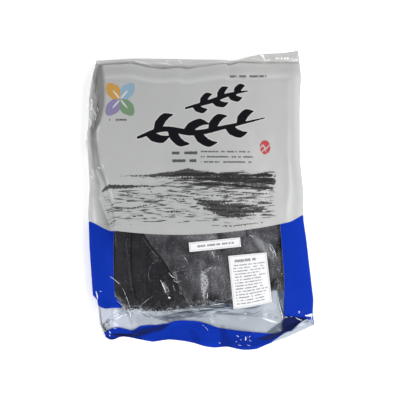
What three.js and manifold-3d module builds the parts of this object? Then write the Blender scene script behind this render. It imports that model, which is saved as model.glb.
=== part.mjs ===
// A pack of dried kelp lying on its back: a crumpled film bag with tucked sides, folded kelp sheets
// behind the clear window in its lower half, and two paper labels stuck over the window.
// Millimetres. X runs across the pack, Y from its foot to its head, and Z up from the table.
import * as THREE from "three";
import { mergeVertices } from "three/addons/utils/BufferGeometryUtils.js";
import Module from "manifold-3d";

// ---- Driving sizes of the bag's outline ------------------------------------------------------
// Each edge runs through these places: the sides from foot to head, the ends from left to right.
const leftSide = [
  [-130.5, -187.5],
  [-139, -170],
  [-141.2, -150],
  [-143.5, -137],
  [-149.5, -132],
  [-156, -65],
  [-159, -15],
  [-158, 22],
  [-161, 66],
  [-164, 82],
  [-162, 110],
  [-162, 148],
  [-157, 182],
  [-152, 210],
];
const rightSide = [
  [158, -172],
  [156.6, -155],
  [158, -138],
  [150, -50],
  [147, -26],
  [147.5, 22],
  [144, 58],
  [145.5, 135],
  [147.5, 186],
  [144, 225],
];
const footEnd = [
  [-130.5, -187.5],
  [-127, -192],
  [-119, -192.6],
  [-113, -189.2],
  [-107, -188],
  [-98, -188.8],
  [-86, -191.4],
  [-77, -193.2],
  [-65, -195.3],
  [-43, -191.9],
  [-22, -194],
  [-8, -196.8],
  [6, -201.3],
  [19, -203.2],
  [38, -201.5],
  [55, -205.7],
  [66, -206.3],
  [78, -205],
  [95, -197.8],
  [121, -188.4],
  [158, -172],
];
const headEnd = [
  [-152, 210],
  [-142, 210],
  [-97, 213],
  [-20, 211.5],
  [31, 211],
  [50, 208.6],
  [61, 212.5],
  [78, 217],
  [90, 219.3],
  [123, 221],
  [144, 225],
];
// The seal across the head ends here.
const sealEnd = [
  [-146, 203.5],
  [-100, 206],
  [-75, 200],
  [-53, 197.6],
  [-32, 200],
  [-20, 197.7],
  [4, 201.5],
  [36, 205.8],
  [42, 203],
  [57, 206.8],
  [94, 205.8],
  [144, 207],
];
// The foot stands up in lobes: where each is across the pack, how wide and how high.
const footLobes = [
  { at: 78, reach: 30, rise: 4 },
  { at: 14, reach: 24, rise: 3 },
  { at: -66, reach: 16, rise: 3 },
  { at: -118, reach: 8, rise: 3 },
];

// ---- Driving sizes of the filled bag's height ------------------------------------------------
const seamThickness = 1.6;
const sideSeamHeight = 7; // the side seams stand clear of the table
const headSeamHeight = 15; // the head seal floats higher
const contentsHeight = 47;
const contentsCrown = 3; // the middle of the pack stands this much higher
const rolls = [
  { height: 0.7, x: 21, y: 70 },
  { height: 0.5, x: -90, y: 33 },
];
const headReach = 42; // the end of the contents slopes down to the seal over this distance
const headValley = 2; // the crease between the seal and the contents
const rightReach = 24; // the right side in the head half
const underReach = 20; // how far in from the seams the back panel comes down to the table
// The face of the pack ends on the left at a long crease, which slants out towards the head.
const faceLeftFoot = -113;
const faceLeftCrease = [
  [-116, -106],
  [-118, -50],
  [-114, -36],
  [-116, -19],
  [-119, -1],
  [-124, 13],
  [-128, 25],
  [-133, 38],
  [-137, 52],
  [-140, 66],
  [-141, 87],
  [-139, 101],
  [-136, 110],
  [-134, 124],
  [-132, 139],
  [-133, 153],
  [-136, 172],
  [-139, 193],
];
const faceRightFoot = 113;
// Above the window the left side is tucked in: up to a ledge, then from the valley's place, which is
// a share of the way across at each height, straight up to the crease.
const tuckLedge = 0.55;
const tuckValley = [
  [0.95, -50],
  [0.79, -43],
  [0.73, -29],
  [0.62, -15],
  [0.5, 3],
  [0.56, 13],
  [0.62, 27],
  [0.55, 41],
  [0.6, 60],
  [0.58, 75],
  [0.5, 92],
  [0.56, 110],
  [0.56, 128],
  [0.48, 143],
  [0.42, 160],
  [0.45, 196],
];
const tuckStart = -75;
const tuckFull = -30;

// Folds across the foot, and the corner turned over at its right: valleys have depths above 0.
const footFolds = [
  { from: [-110, -158], to: [-52, -170], width: 9, depth: 3 },
  { from: [-50, -168], to: [50, -160], width: 10, depth: 3 },
  { from: [-126, -178], to: [-60, -182], width: 8, depth: -4 },
  { from: [-30, -176], to: [70, -190], width: 9, depth: -4 },
  { from: [116, -171], to: [146, -161], width: 8, depth: 9 },
  { from: [104, -188], to: [153, -168], width: 7, depth: -4 },
  { from: [-150, -112], to: [-108, -152], width: 9, depth: 3 },
];

// ---- Driving sizes of the window, the kelp and the labels ------------------------------------
const windowLeft = -117;
const windowRight = 113;
const windowArc = { middle: -30, lowest: -52, radius: 654 };
const arcParts = 20;
// The lower end of the kelp, from left to right.
const kelpEnd = [
  [-117, -150],
  [-104, -151],
  [-66, -154],
  [0, -146],
  [44, -141],
  [90, -127],
  [113, -129],
];
const kelpFloor = 6; // kelp reaches down to here, and the bag closes below it
const kelpUnderFilm = 0.2;
const clearance = 0.4; // between the kelp and the bag's solid
const raggedness = 1.6; // teeth along the kelp's lower end
const raggedStep = 4.5;
// Edges of folded sheets that show in the window: how far the kelp steps up to the right of each.
const kelpSteps = [
  { from: [-99, -40], to: [-93, -160], step: -2.4 },
  { from: [-84, -40], to: [-78, -160], step: 1.6 },
  { from: [-66, -48], to: [-22, -140], step: 2.2 },
  { from: [-44, -40], to: [-40, -100], step: -1.6 },
  { from: [22, -40], to: [12, -160], step: 1.4 },
  { from: [84, -30], to: [98, -140], step: -1.8 },
];
const kelpLowest = 2.8; // the lowest sheet lies this far below the film
const kelpTurnDown = { depth: 3.5, reach: 7 }; // at its lower end
const sheetEdge = 2.5; // a sheet's edge rises over this distance
const kelpWave = { height: 0.5, x: 13, y: 9 };
const labelThickness = 0.5;
const labelGap = 0.15; // between a label and the film's outside
const labelMargin = 6; // kelp is pressed flat this far around a label
const infoLabel = { at: [66.5, -113.6], size: [51, 71], turn: 5.5 };
const dateLabel = { at: [20, -65.5], size: [70, 13], turn: 5.8 };

// ---- Cells of each closed sheet --------------------------------------------------------------
const bagColumns = [9, 20, 7]; // left side, face, right side
const bagRows = [11, 22, 6, 2]; // foot slope, face, head slope, seal
const kelpCells = [42, 22];
const infoCells = [7, 9];
const dateCells = [10, 3];

const { lerp, clamp, smoothstep, degToRad } = THREE.MathUtils;
const swell = (t) => Math.sin(Math.PI * clamp(t, 0, 1));
const bell = (offset, reach) => Math.exp(-((offset / reach) ** 2));
const between = (value, from, to) => (value - from) / (to - from);
const sum = (list, term) => list.reduce((total, item) => total + term(item), 0);

// Rises from 0 at a seam to 1 at reach inwards, along a rounder shoulder for a larger power.
function shoulder(distance, reach, power) {
  const rest = 1 - clamp(distance / reach, 0, 1);
  return (1 - rest ** power) ** (1 / power);
}

// ---- Outline: each edge as a function of the place along it ----------------------------------
// The second coordinate of a line through points, at a value of the first.
function alongLine(points, value) {
  const after = points.findIndex((point) => point[0] >= value);
  const next = after < 0 ? points.length - 1 : Math.max(after, 1);
  const [from, to] = [points[next - 1], points[next]];
  return lerp(from[1], to[1], clamp(between(value, from[0], to[0]), 0, 1));
}

const swapped = (points) => points.map(([x, y]) => [y, x]);
const leftByHeight = swapped(leftSide);
const rightByHeight = swapped(rightSide);
const creaseByHeight = swapped(faceLeftCrease);
const valleyByHeight = swapped(tuckValley);
const leftEdge = (y) => alongLine(leftByHeight, y);
const rightEdge = (y) => alongLine(rightByHeight, y);
const headEdge = (x) => alongLine(headEnd, x);
const footEdge = (x) => alongLine(footEnd, x);

// ---- Lines that divide the front of the bag --------------------------------------------------
function faceLeft(y) {
  return lerp(faceLeftFoot, alongLine(creaseByHeight, y), smoothstep(y, tuckStart, tuckFull));
}

function faceRight(y) {
  return lerp(faceRightFoot, rightEdge(y) - rightReach, smoothstep(y, -60, 60));
}

const kelpEndAt = (x) => alongLine(kelpEnd, x);
const footTop = (x) => kelpEndAt(x) + 5;
const sealLine = (x) => alongLine(sealEnd, x);
const headTop = (x) => sealLine(x) - headReach;

function windowTop(x) {
  const { middle, lowest, radius } = windowArc;
  return lowest + radius - Math.sqrt(radius ** 2 - (x - middle) ** 2);
}

// The value at cell, counted in cells along stops with the given number of cells between them.
function alongStops(cell, stops, cells) {
  let rest = cell;
  let part = 0;
  while (part < cells.length - 1 && rest > cells[part]) {
    rest -= cells[part];
    part += 1;
  }
  return lerp(stops[part], stops[part + 1], rest / cells[part]);
}

// The place on the pack at a column across and a row from foot to head, settled step by step
// because every line across bends the lines along, and the other way round.
function placeAt(column, row) {
  let x = 0;
  let y = 0;
  for (let i = 0; i < 8; i += 1) {
    x = alongStops(column, [leftEdge(y), faceLeft(y), faceRight(y), rightEdge(y)], bagColumns);
    y = alongStops(row, [footEdge(x), footTop(x), headTop(x), sealLine(x), headEdge(x)], bagRows);
  }
  return [x, y];
}

// ---- Height of the film ----------------------------------------------------------------------
const seamHeight = (y) => lerp(sideSeamHeight, headSeamHeight, smoothstep(y, 140, 200));

function distanceToFold(x, y, { from, to }) {
  const start = new THREE.Vector2(...from);
  const along = new THREE.Vector2(...to).sub(start);
  const offset = new THREE.Vector2(x, y).sub(start);
  const share = clamp(offset.dot(along) / along.lengthSq(), 0, 1);
  return offset.distanceTo(along.multiplyScalar(share));
}

function leftRise(x, y) {
  const share = between(x, leftEdge(y), faceLeft(y));
  const valley = alongLine(valleyByHeight, y);
  const ledge = tuckLedge * shoulder(share, 0.8 * valley, 2.5);
  const tucked = ledge + (1 - tuckLedge) * clamp(between(share, valley, 1), 0, 1);
  return lerp(shoulder(share, 1, 1.8), tucked, smoothstep(y, tuckStart, tuckFull));
}

function rightRise(x, y) {
  return shoulder(rightEdge(y) - x, rightEdge(y) - faceRight(y), 2);
}

function footRise(x, y) {
  return shoulder(y - footEdge(x), footTop(x) - footEdge(x), 1.5);
}

function headRise(x, y) {
  return swell(clamp((sealLine(x) - y) / headReach, 0, 1) / 2) ** 0.8;
}

// The front film without its folds.
function smoothHeight(x, y) {
  const crown = contentsCrown * (1 - (x / 150) ** 2) * (1 - ((y - 10) / 230) ** 2);
  const rolling = sum(rolls, (roll) => roll.height * Math.sin(x / roll.x + y / roll.y));
  const face = contentsHeight + crown + rolling;
  const seam = seamHeight(y);
  const rise = leftRise(x, y) * rightRise(x, y) * footRise(x, y) * headRise(x, y);
  const slope = swell(between(y, footEdge(x), footTop(x)));
  const lobes = sum(footLobes, (lobe) => lobe.rise * bell(x - lobe.at, lobe.reach));
  return seam + (face - seam) * rise + slope * lobes;
}

function frontHeight(x, y) {
  const folds = sum(footFolds, (fold) => -fold.depth * bell(distanceToFold(x, y, fold), fold.width));
  const valley = -headValley * bell(y - sealLine(x), 3);
  return Math.max(smoothHeight(x, y) + folds + valley, seamHeight(y) - headValley);
}

// The back film: on the table inside the seams, and up to them at the edges.
function backHeight(x, y) {
  const inside =
    shoulder(x - leftEdge(y), underReach, 2) *
    shoulder(rightEdge(y) - x, underReach, 2) *
    shoulder(y - footEdge(x), underReach, 2) *
    shoulder(sealLine(x) - y, 2 * underReach, 2);
  return (seamHeight(y) - headValley - seamThickness) * (1 - inside) ** 1.5;
}

// ---- Height of the kelp ----------------------------------------------------------------------
// How far a place lies outside a label's edges, or below 0 inside them.
function outsideLabel(x, y, { at, size, turn }) {
  const local = new THREE.Vector2(x - at[0], y - at[1]);
  local.rotateAround(new THREE.Vector2(), -degToRad(turn));
  return Math.max(Math.abs(local.x) - size[0] / 2, Math.abs(local.y) - size[1] / 2);
}

function kelpHeight(x, y) {
  const steps = sum(kelpSteps, ({ from, to, step }) => {
    const edge = lerp(from[0], to[0], between(y, from[1], to[1]));
    return step * smoothstep(x, edge, edge + sheetEdge);
  });
  const waves = kelpWave.height * Math.sin(x / kelpWave.x) * Math.sin(y / kelpWave.y + x / 31);
  const turnDown = kelpTurnDown.depth * bell(y - kelpEndAt(x), kelpTurnDown.reach);
  const depth = Math.max(kelpLowest - steps - waves + turnDown, 0);
  const clear = Math.min(outsideLabel(x, y, infoLabel), outsideLabel(x, y, dateLabel));
  return smoothHeight(x, y) - kelpUnderFilm - depth * smoothstep(clear, labelMargin, 2 * labelMargin);
}

// ---- Closed sheets and solids ----------------------------------------------------------------
// A block of cells whose upper and lower faces are moved to where place says.
function closedSheet(across, along, place) {
  const sheet = new THREE.BoxGeometry(1, 1, 1, across, along, 1);
  const position = sheet.attributes.position;
  for (let i = 0; i < position.count; i += 1) {
    const upper = position.getZ(i) > 0;
    position.setXYZ(i, ...place(position.getX(i) + 0.5, position.getY(i) + 0.5, upper));
  }
  return sheet;
}

const wasm = await Module();
wasm.setup();

function solidOf(geometry) {
  const bare = new THREE.BufferGeometry();
  bare.setAttribute("position", geometry.attributes.position);
  bare.setIndex(geometry.index);
  const merged = mergeVertices(bare, 1e-4);
  return new wasm.Manifold(
    new wasm.Mesh({
      numProp: 3,
      vertProperties: merged.attributes.position.array,
      triVerts: new Uint32Array(merged.index.array),
    }),
  );
}

function geometryOf(solid) {
  const mesh = solid.getMesh();
  const geometry = new THREE.BufferGeometry();
  geometry.setAttribute("position", new THREE.BufferAttribute(mesh.vertProperties, 3));
  geometry.setIndex(new THREE.BufferAttribute(mesh.triVerts, 1));
  geometry.computeVertexNormals();
  return geometry;
}

// Repeatable numbers from -1 to 1.
function seeded(seed) {
  let state = seed;
  return () => {
    state = (state * 16807) % 2147483647;
    return (2 * state) / 2147483647 - 1;
  };
}

// The window down to the kelp's ragged lower end as an upright prism, let out by grow all round.
function windowPrism(grow, low, high) {
  const tooth = seeded(7);
  const outline = [];
  for (let i = 0; i <= arcParts; i += 1) {
    const x = lerp(windowLeft, windowRight, i / arcParts);
    outline.push(new THREE.Vector2(x, windowTop(x) + grow));
  }
  for (let x = windowRight; x >= windowLeft; x -= raggedStep) {
    outline.push(new THREE.Vector2(x, kelpEndAt(x) - grow + raggedness * tooth()));
  }
  for (const point of outline) {
    if (point.x > windowRight - 0.1) point.x += grow;
    if (point.x < windowLeft + 0.1) point.x -= grow;
  }
  const settings = { depth: high - low, bevelEnabled: false };
  const prism = new THREE.ExtrudeGeometry(new THREE.Shape(outline.reverse()), settings);
  return solidOf(mergeVertices(bareCopy(prism.translate(0, 0, low))));
}

// A copy of a geometry that keeps only the positions.
function bareCopy(geometry) {
  const bare = new THREE.BufferGeometry();
  bare.setAttribute("position", geometry.attributes.position);
  return bare;
}

function bagGeometry() {
  const across = bagColumns.reduce((a, b) => a + b);
  const along = bagRows.reduce((a, b) => a + b);
  const filled = closedSheet(across, along, (u, v, upper) => {
    const [x, y] = placeAt(u * across, v * along);
    return [x, y, upper ? frontHeight(x, y) : backHeight(x, y)];
  });
  const pocket = windowPrism(clearance, kelpFloor - clearance, contentsHeight + 20);
  return geometryOf(solidOf(filled).subtract(pocket));
}

function kelpGeometry() {
  const margin = 4;
  const low = Math.min(...kelpEnd.map((point) => point[1])) - margin;
  const high = windowTop(windowRight) + margin;
  const block = closedSheet(...kelpCells, (u, v, upper) => {
    const x = lerp(windowLeft - margin, windowRight + margin, u);
    const y = lerp(low, high, v);
    return [x, y, upper ? kelpHeight(x, y) : kelpFloor];
  });
  return geometryOf(solidOf(block).intersect(windowPrism(0, 0, contentsHeight + 20)));
}

// A thin label that follows the film under it.
function labelGeometry({ at, size, turn }, cells) {
  const angle = degToRad(turn);
  return closedSheet(...cells, (u, v, upper) => {
    const spot = new THREE.Vector2((u - 0.5) * size[0], (v - 0.5) * size[1]);
    spot.rotateAround(new THREE.Vector2(), angle).add(new THREE.Vector2(...at));
    return [spot.x, spot.y, smoothHeight(spot.x, spot.y) + labelGap + (upper ? labelThickness : 0)];
  });
}

// ---- The pack --------------------------------------------------------------------------------
const silverFilm = new THREE.MeshStandardMaterial({ color: 0xb9bbba, roughness: 0.3, metalness: 0.3 });
const driedKelp = new THREE.MeshStandardMaterial({ color: 0x2b2a2e, roughness: 0.75, metalness: 0 });
const infoPaper = new THREE.MeshStandardMaterial({ color: 0xebeaec, roughness: 0.6, metalness: 0 });
const datePaper = infoPaper.clone();

const pack = new THREE.Group();
const pieces = [
  ["bag", bagGeometry(), silverFilm],
  ["kelp_sheets", kelpGeometry(), driedKelp],
  ["info_label", labelGeometry(infoLabel, infoCells), infoPaper],
  ["date_label", labelGeometry(dateLabel, dateCells), datePaper],
];
for (const [name, geometry, material] of pieces) {
  const mesh = new THREE.Mesh(geometry, material);
  mesh.name = name;
  pack.add(mesh);
}

// The origin is on the table, under the middle of the pack.
const bounds = new THREE.Box3().setFromObject(pack);
const middle = bounds.getCenter(new THREE.Vector3());
for (const mesh of pack.children) {
  mesh.position.set(-middle.x, -middle.y, -bounds.min.z);
}

export default pack;
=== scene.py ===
"""A pack of dried kelp on a pale studio floor: its film, lining, kelp, crumbs, stickers and lights.

The shapes are worked out in millimetres on the pack's drawing, as its solids are. The last step of
each piece moves it from the drawing to the frame and turns it to metres.
"""

import math
import random

import bpy
import numpy as np
from mathutils import Euler, Matrix, Vector, noise
from mathutils.bvhtree import BVHTree


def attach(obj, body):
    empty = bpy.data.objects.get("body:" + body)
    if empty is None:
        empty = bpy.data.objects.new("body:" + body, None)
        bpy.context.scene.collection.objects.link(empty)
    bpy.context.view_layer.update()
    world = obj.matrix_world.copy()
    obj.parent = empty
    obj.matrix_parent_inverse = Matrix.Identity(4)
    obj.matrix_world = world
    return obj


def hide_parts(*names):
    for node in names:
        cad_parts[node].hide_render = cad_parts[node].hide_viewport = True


bl_info = {
    "name": "Dried kelp pack",
    "version": (1, 0, 0),
    "blender": (4, 5, 0),
    "location": "3D View > Sidebar > Kelp pack",
    "description": "Builds a film pack of dried kelp with its print, stickers and studio",
    "category": "Add Mesh",
}

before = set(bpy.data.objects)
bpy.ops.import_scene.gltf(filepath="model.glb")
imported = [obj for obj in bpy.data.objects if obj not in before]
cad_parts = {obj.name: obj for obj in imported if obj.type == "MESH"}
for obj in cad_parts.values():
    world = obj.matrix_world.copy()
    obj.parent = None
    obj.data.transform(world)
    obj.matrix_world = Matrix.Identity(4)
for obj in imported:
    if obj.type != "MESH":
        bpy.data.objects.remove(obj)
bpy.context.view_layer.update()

MM = 0.001

# ---- Outline of the bag on the drawing: the sides from foot to head, the ends from the left ------
LEFT_SIDE = (
    (-130.5, -187.5), (-139, -170), (-141.2, -150), (-143.5, -137), (-149.5, -132), (-156, -65),
    (-159, -15), (-158, 22), (-161, 66), (-164, 82), (-162, 110), (-162, 148), (-157, 182),
    (-152, 210),
)
RIGHT_SIDE = (
    (158, -172), (156.6, -155), (158, -138), (150, -50), (147, -26), (147.5, 22), (144, 58),
    (145.5, 135), (147.5, 186), (144, 225),
)
FOOT_END = (
    (-130.5, -187.5), (-127, -192), (-119, -192.6), (-113, -189.2), (-107, -188), (-98, -188.8),
    (-86, -191.4), (-77, -193.2), (-65, -195.3), (-43, -191.9), (-22, -194), (-8, -196.8),
    (6, -201.3), (19, -203.2), (38, -201.5), (55, -205.7), (66, -206.3), (78, -205), (95, -197.8),
    (121, -188.4), (158, -172),
)
HEAD_END = (
    (-152, 210), (-142, 210), (-97, 213), (-20, 211.5), (31, 211), (50, 208.6), (61, 212.5),
    (78, 217), (90, 219.3), (123, 221), (144, 225),
)
# The seal across the head ends here.
SEAL_END = (
    (-146, 203.5), (-100, 206), (-75, 200), (-53, 197.6), (-32, 200), (-20, 197.7), (4, 201.5),
    (36, 205.8), (42, 203), (57, 206.8), (94, 205.8), (144, 207),
)
# Each lobe of the foot: its place across, its reach and its rise above the slope.
FOOT_LOBES = ((78, 30, 4), (14, 24, 3), (-66, 16, 3), (-118, 8, 3))
# How far the corners of each line are rounded.
SIDE_BLUR = 1.5
HEAD_BLUR = 1.5
FOOT_BLUR = 3
SEAL_BLUR = 2
STRIPE_BLUR = 1.5
BAND_BLUR = 2.5
KELP_BLUR = 3
FLAP_BLUR = 1

# ---- Height of the filled bag -------------------------------------------------------------------
SIDE_SEAM = 7
HEAD_SEAM = 15
SEAM_CLIMB = (140, 200)  # the seam climbs to the head's height between these
CONTENTS = 47
CROWN = 3
CROWN_MIDDLE = 10
CROWN_REACH = (150, 230)
ROLLS = ((0.7, 21, 70), (0.5, -90, 33))  # height, and length across and along
HEAD_REACH = 42
HEAD_POWER = 0.8
HEAD_VALLEY = 2
VALLEY_REACH = 3
RIGHT_REACH = 24
RIGHT_WIDENS = (-60, 60)  # the face widens to its full width between these
UNDER_REACH = 20
UNDER_POWER = 1.5
FACE_LEFT_FOOT = -113
FACE_RIGHT_FOOT = 113
FOOT_TOP_GAP = 5
# How round each shoulder of the bag is.
ROUND = 2
FOOT_ROUND = 1.5
LEFT_ROUND = 1.8
LEDGE_ROUND = 2.5
# The window's left border, and above it the crease where the face meets the tucked side.
FOLD_LEFT = (
    (-104, -152), (-104, -146), (-108, -141), (-114, -135), (-116, -106), (-117, -73), (-118, -50),
    (-114, -36), (-116, -19), (-119, -1), (-124, 13), (-128, 25), (-133, 38), (-137, 52),
    (-140, 66), (-141, 87), (-139, 101), (-136, 110), (-134, 124), (-132, 139), (-133, 153),
    (-136, 172), (-139, 193),
)
# How far across the tucked side its second crease lies, at each place up the bag.
TUCK_VALLEY = (
    (0.95, -50), (0.79, -43), (0.73, -29), (0.62, -15), (0.50, 3), (0.56, 13), (0.62, 27),
    (0.55, 41), (0.60, 60), (0.58, 75), (0.50, 92), (0.56, 110), (0.56, 128), (0.48, 143),
    (0.42, 160), (0.45, 196),
)
TUCK_LEDGE = 0.55
TUCK_LEDGE_REACH = 0.8  # share of the valley's place at which the ledge is full
TUCK_START = -75
TUCK_FULL = -30
# Folds across the foot and the corner turned over: two ends, reach, and depth below the film.
FOOT_FOLDS = (
    ((-110, -158), (-52, -170), 9, 3),
    ((-50, -168), (50, -160), 10, 3),
    ((-126, -178), (-60, -182), 8, -4),
    ((-30, -176), (70, -190), 9, -4),
    ((116, -171), (146, -161), 8, 9),
    ((104, -188), (153, -168), 7, -4),
    ((-150, -112), (-108, -152), 9, 3),
)

# ---- Window, kelp and stickers ------------------------------------------------------------------
WINDOW_LEFT = -117
WINDOW_RIGHT = 113
WINDOW_RIGHT_LINE = ((113, -165), (112, -145), (113, -110), (111, -73), (109, -40), (108, 60))
ARC_MIDDLE = -30
ARC_LOWEST = -52
ARC_RADIUS = 654
ARC_LIFTS = ((-118, -160, 11), (120, 149, 8))  # where it starts, where it ends, how far it lifts
# The silver flap of the corner that is turned over: its upper line, and where it starts.
FLAP_LEFT = 97
FLAP_LINE = (
    (97, -199), (99, -195), (107, -189), (114, -183), (124, -180), (133, -172), (140, -167),
    (148, -164), (157, -172),
)
# Lower end of the left stripe, end of the kelp, and upper border of the blue band, from the left.
STRIPE_FOOT = ((-145, -145), (-139, -146), (-134, -149), (-127, -151), (-118, -150), (-105, -150))
KELP_END = (
    (-117, -150), (-104, -151), (-90, -151), (-66, -154), (-38, -151), (0, -146), (20, -142),
    (44, -141), (90, -127), (112, -129),
)
BAND_TOP = (
    (-140, -180), (-130, -182), (-125, -179), (-119, -177), (-110, -175), (-98, -178), (-92, -180),
    (-86, -177), (-81, -173.4), (-70, -172.2), (-57, -172), (-42, -170), (-35, -167), (-25, -166),
    (-5, -167), (5, -169), (25, -176), (54, -180), (88, -183), (102, -184), (109, -182),
    (113, -177),
)
# The kelp that shows ends this much higher than the stack below it.
KELP_RAISED = (
    (-112, 0), (-100, 1.5), (-80, 3.2), (-68, 2.8), (-58, 1.2), (-44, 0), (-30, 1.2), (8, 1.8),
    (24, 1), (40, 0),
)
# Each sticker: its middle, size, turn in degrees, cells, and how far its corner curls up.
INFO_STICKER = {"at": (67.1, -113.6), "size": (52.2, 71), "turn": 5.5, "cells": (42, 56), "curl": 4}
DATE_STICKER = {"at": (20, -65.5), "size": (70, 13), "turn": 5.8, "cells": (56, 12), "curl": 0}
CURL_STARTS, CURL_ENDS = 0.25, 1.1  # shares of the width
STICKER_EASING = 30
STICKER_GAP = 0.03

# ---- Creases: reach to the left and right of the way, rise above the film, and the points --------
FILM_CREASES = (
    # Over the silver part of the foot.
    (4, 2, 1.5, -105, -149, -96, -154, -91, -163, -84, -170),
    (5, 3, 1.4, -127, -163, -118, -158, -108, -154),
    (3, 3, -1.3, -133, -158, -120, -166, -108, -172),
    (2.5, 4, -2, -82, -151, -70, -165, -54, -161, -38, -158, -13, -154, 12, -152, 44, -149),
    (3, 3, 1.8, -72, -158, -48, -168, -30, -164),
    (2.5, 2.5, 1.2, -60, -158, -30, -160, 4, -158),
    (2.5, 3, -1.6, 20, -158, 44, -158, 65, -159, 83, -161),
    (1.8, 2.2, 1.4, 5, -154, 12, -161, 16, -171),
    (2.5, 2, 1.1, 12, -159, 25, -164, 40, -168),
    (2.2, 2, 1.7, 76, -161, 84, -164, 94, -168, 105, -170),
    (2, 2, 0.7, 60, -152, 64, -158, 60, -168),
    (4, 4, -1.4, 92, -186, 96, -176, 106, -171),
    (2.4, 3, 1.3, 106, -139, 111, -154, 113, -168),
    # Over the blue band along the foot.
    (3.5, 3, 2.2, -128, -178, -121, -183, -113, -183),
    (3, 2, -2.2, -116, -184, -104, -185, -92, -187),
    (3.5, 6, 2.6, -95, -183, -77, -184, -62, -182, -49, -178, -38, -170, -30, -167),
    (4, 5, -1.6, -90, -189, -71, -190, -54, -187, -38, -180),
    (3.5, 5, -2.2, 25, -177, 30, -187, 36, -199),
    (3, 4, 1.2, 43, -180, 49, -192, 52, -203),
    (4, 3, -1.6, -12, -178, -4, -186, -8, -196),
    (1.5, 1.5, 1, 2, -171, 8, -177),
    (1.6, 1.6, 1.3, 50, -192, 57, -187, 64, -190),
    (1.5, 1.5, 1.2, 58, -184, 62, -195),
    (1.4, 1.4, 1.1, 68, -184, 66, -192),
    (1.5, 1.5, 0.9, 47, -198, 60, -199, 70, -201),
    (3, 4, -1.8, 84, -188, 100, -187, 112, -181),
    # The corner that is turned over, and the right stripe above it.
    (2.2, 3, 2.6, 149, -163, 140, -167, 133, -172, 124, -180, 114, -183, 107, -189),
    (1.4, 2, 1.4, 113, -160, 121, -160, 130, -158),
    (1.6, 1.6, 1.5, 133, -152, 137, -156, 142, -163),
    (1.4, 1.4, 1.1, 128, -163, 136, -160, 143, -163),
    (1.4, 1.4, 1.2, 143, -156, 151, -157),
    # Left stripe.
    (2.2, 1.8, 2, -149, -126, -145, -133, -143, -138),
    (1.4, 1.4, 0.9, -142, -128, -137, -130),
    # Over the kelp.
    (1.6, 1.6, 0.9, -67, -138, -80, -150),
    (1.6, 1.6, 1, -120, -148, -110, -146, -103, -152),
    (1.4, 1.6, 0.7, -54, -89, -62, -92, -66, -102, -67, -113, -64, -120),
    (1.5, 2.4, 1.5, -52, -116, -47, -126, -43, -134),
    (1.8, 2.2, 0.7, -38, -96, -33, -107, -36, -118),
    (1.8, 2.2, 0.45, -30, -118, -27, -130, -32, -138),
    (1.8, 1.8, 0.55, -48, -99, -27, -97, -7, -94),
    (3, 4.5, 0.7, 5, -96, 8, -113, 11, -136),
    (3, 5, 0.6, 8, -106, 20, -97, 32, -101, 38, -118),
    (3.5, 7, 0.9, 83, -50, 91, -66, 102, -88),
    (1.6, 1.6, 0.8, 24, -74, 30, -82),
    (1.6, 1.6, 0.6, -16, -82, -6, -74),
)
# Film drawn towards the seal across the head.
HEAD_CREASES = (
    (2, 2, -0.9, -146, 203, -120, 205, -96, 208, -70, 201),
    (2, 2.6, 1, -92, 210, -70, 206, -55, 203, -42, 207),
    (1.6, 2.2, 0.9, -64, 203, -45, 201, -30, 204),
    (1.8, 2.2, 0.8, -30, 206, -14, 202, 6, 206),
    (1.6, 1.8, 0.8, 52, 208, 58, 212, 66, 210),
    (2, 2.2, 0.9, 80, 213, 92, 208, 100, 211),
    (3, 3, 0.7, 118, 203, 112, 198, 108, 192),
    (1.4, 1.4, 0.8, 121, 205, 121, 198),
)

# ---- Strokes: strength, then the place across, the place up and the width at each point ----------
STROKE_BLUR = 1.6
TUCK_SHADE_BLUR = 3.2
SHEEN_BLUR = 5
# Shade of the tucked side, which is softer.
TUCK_SHADES = (
    (
        0.7, -145, 198, 7, -143.5, 174, 15, -141.2, 152, 15,
        -141, 130, 14, -144, 112, 12, -149, 98, 6,
    ),
    (
        0.6, -154, 103, 4, -149.5, 94, 9, -148, 84, 8.5, -145, 69, 7.5,
        -142.2, 57, 7, -140.4, 44, 7.5, -134, 30, 6.5, -129, 14, 3,
    ),
    (0.25, -151, 168, 3, -152, 150, 6, -150, 128, 4),
    (0.4, -128, 12, 2, -123, -4, 3, -119, -22, 4, -116, -38, 2),
    (0.13, -133, 10, 6, -132, -8, 18, -129, -26, 14),
    (0.16, -156, 40, 2, -148, 28, 5, -140, 22, 2),
)
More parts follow.
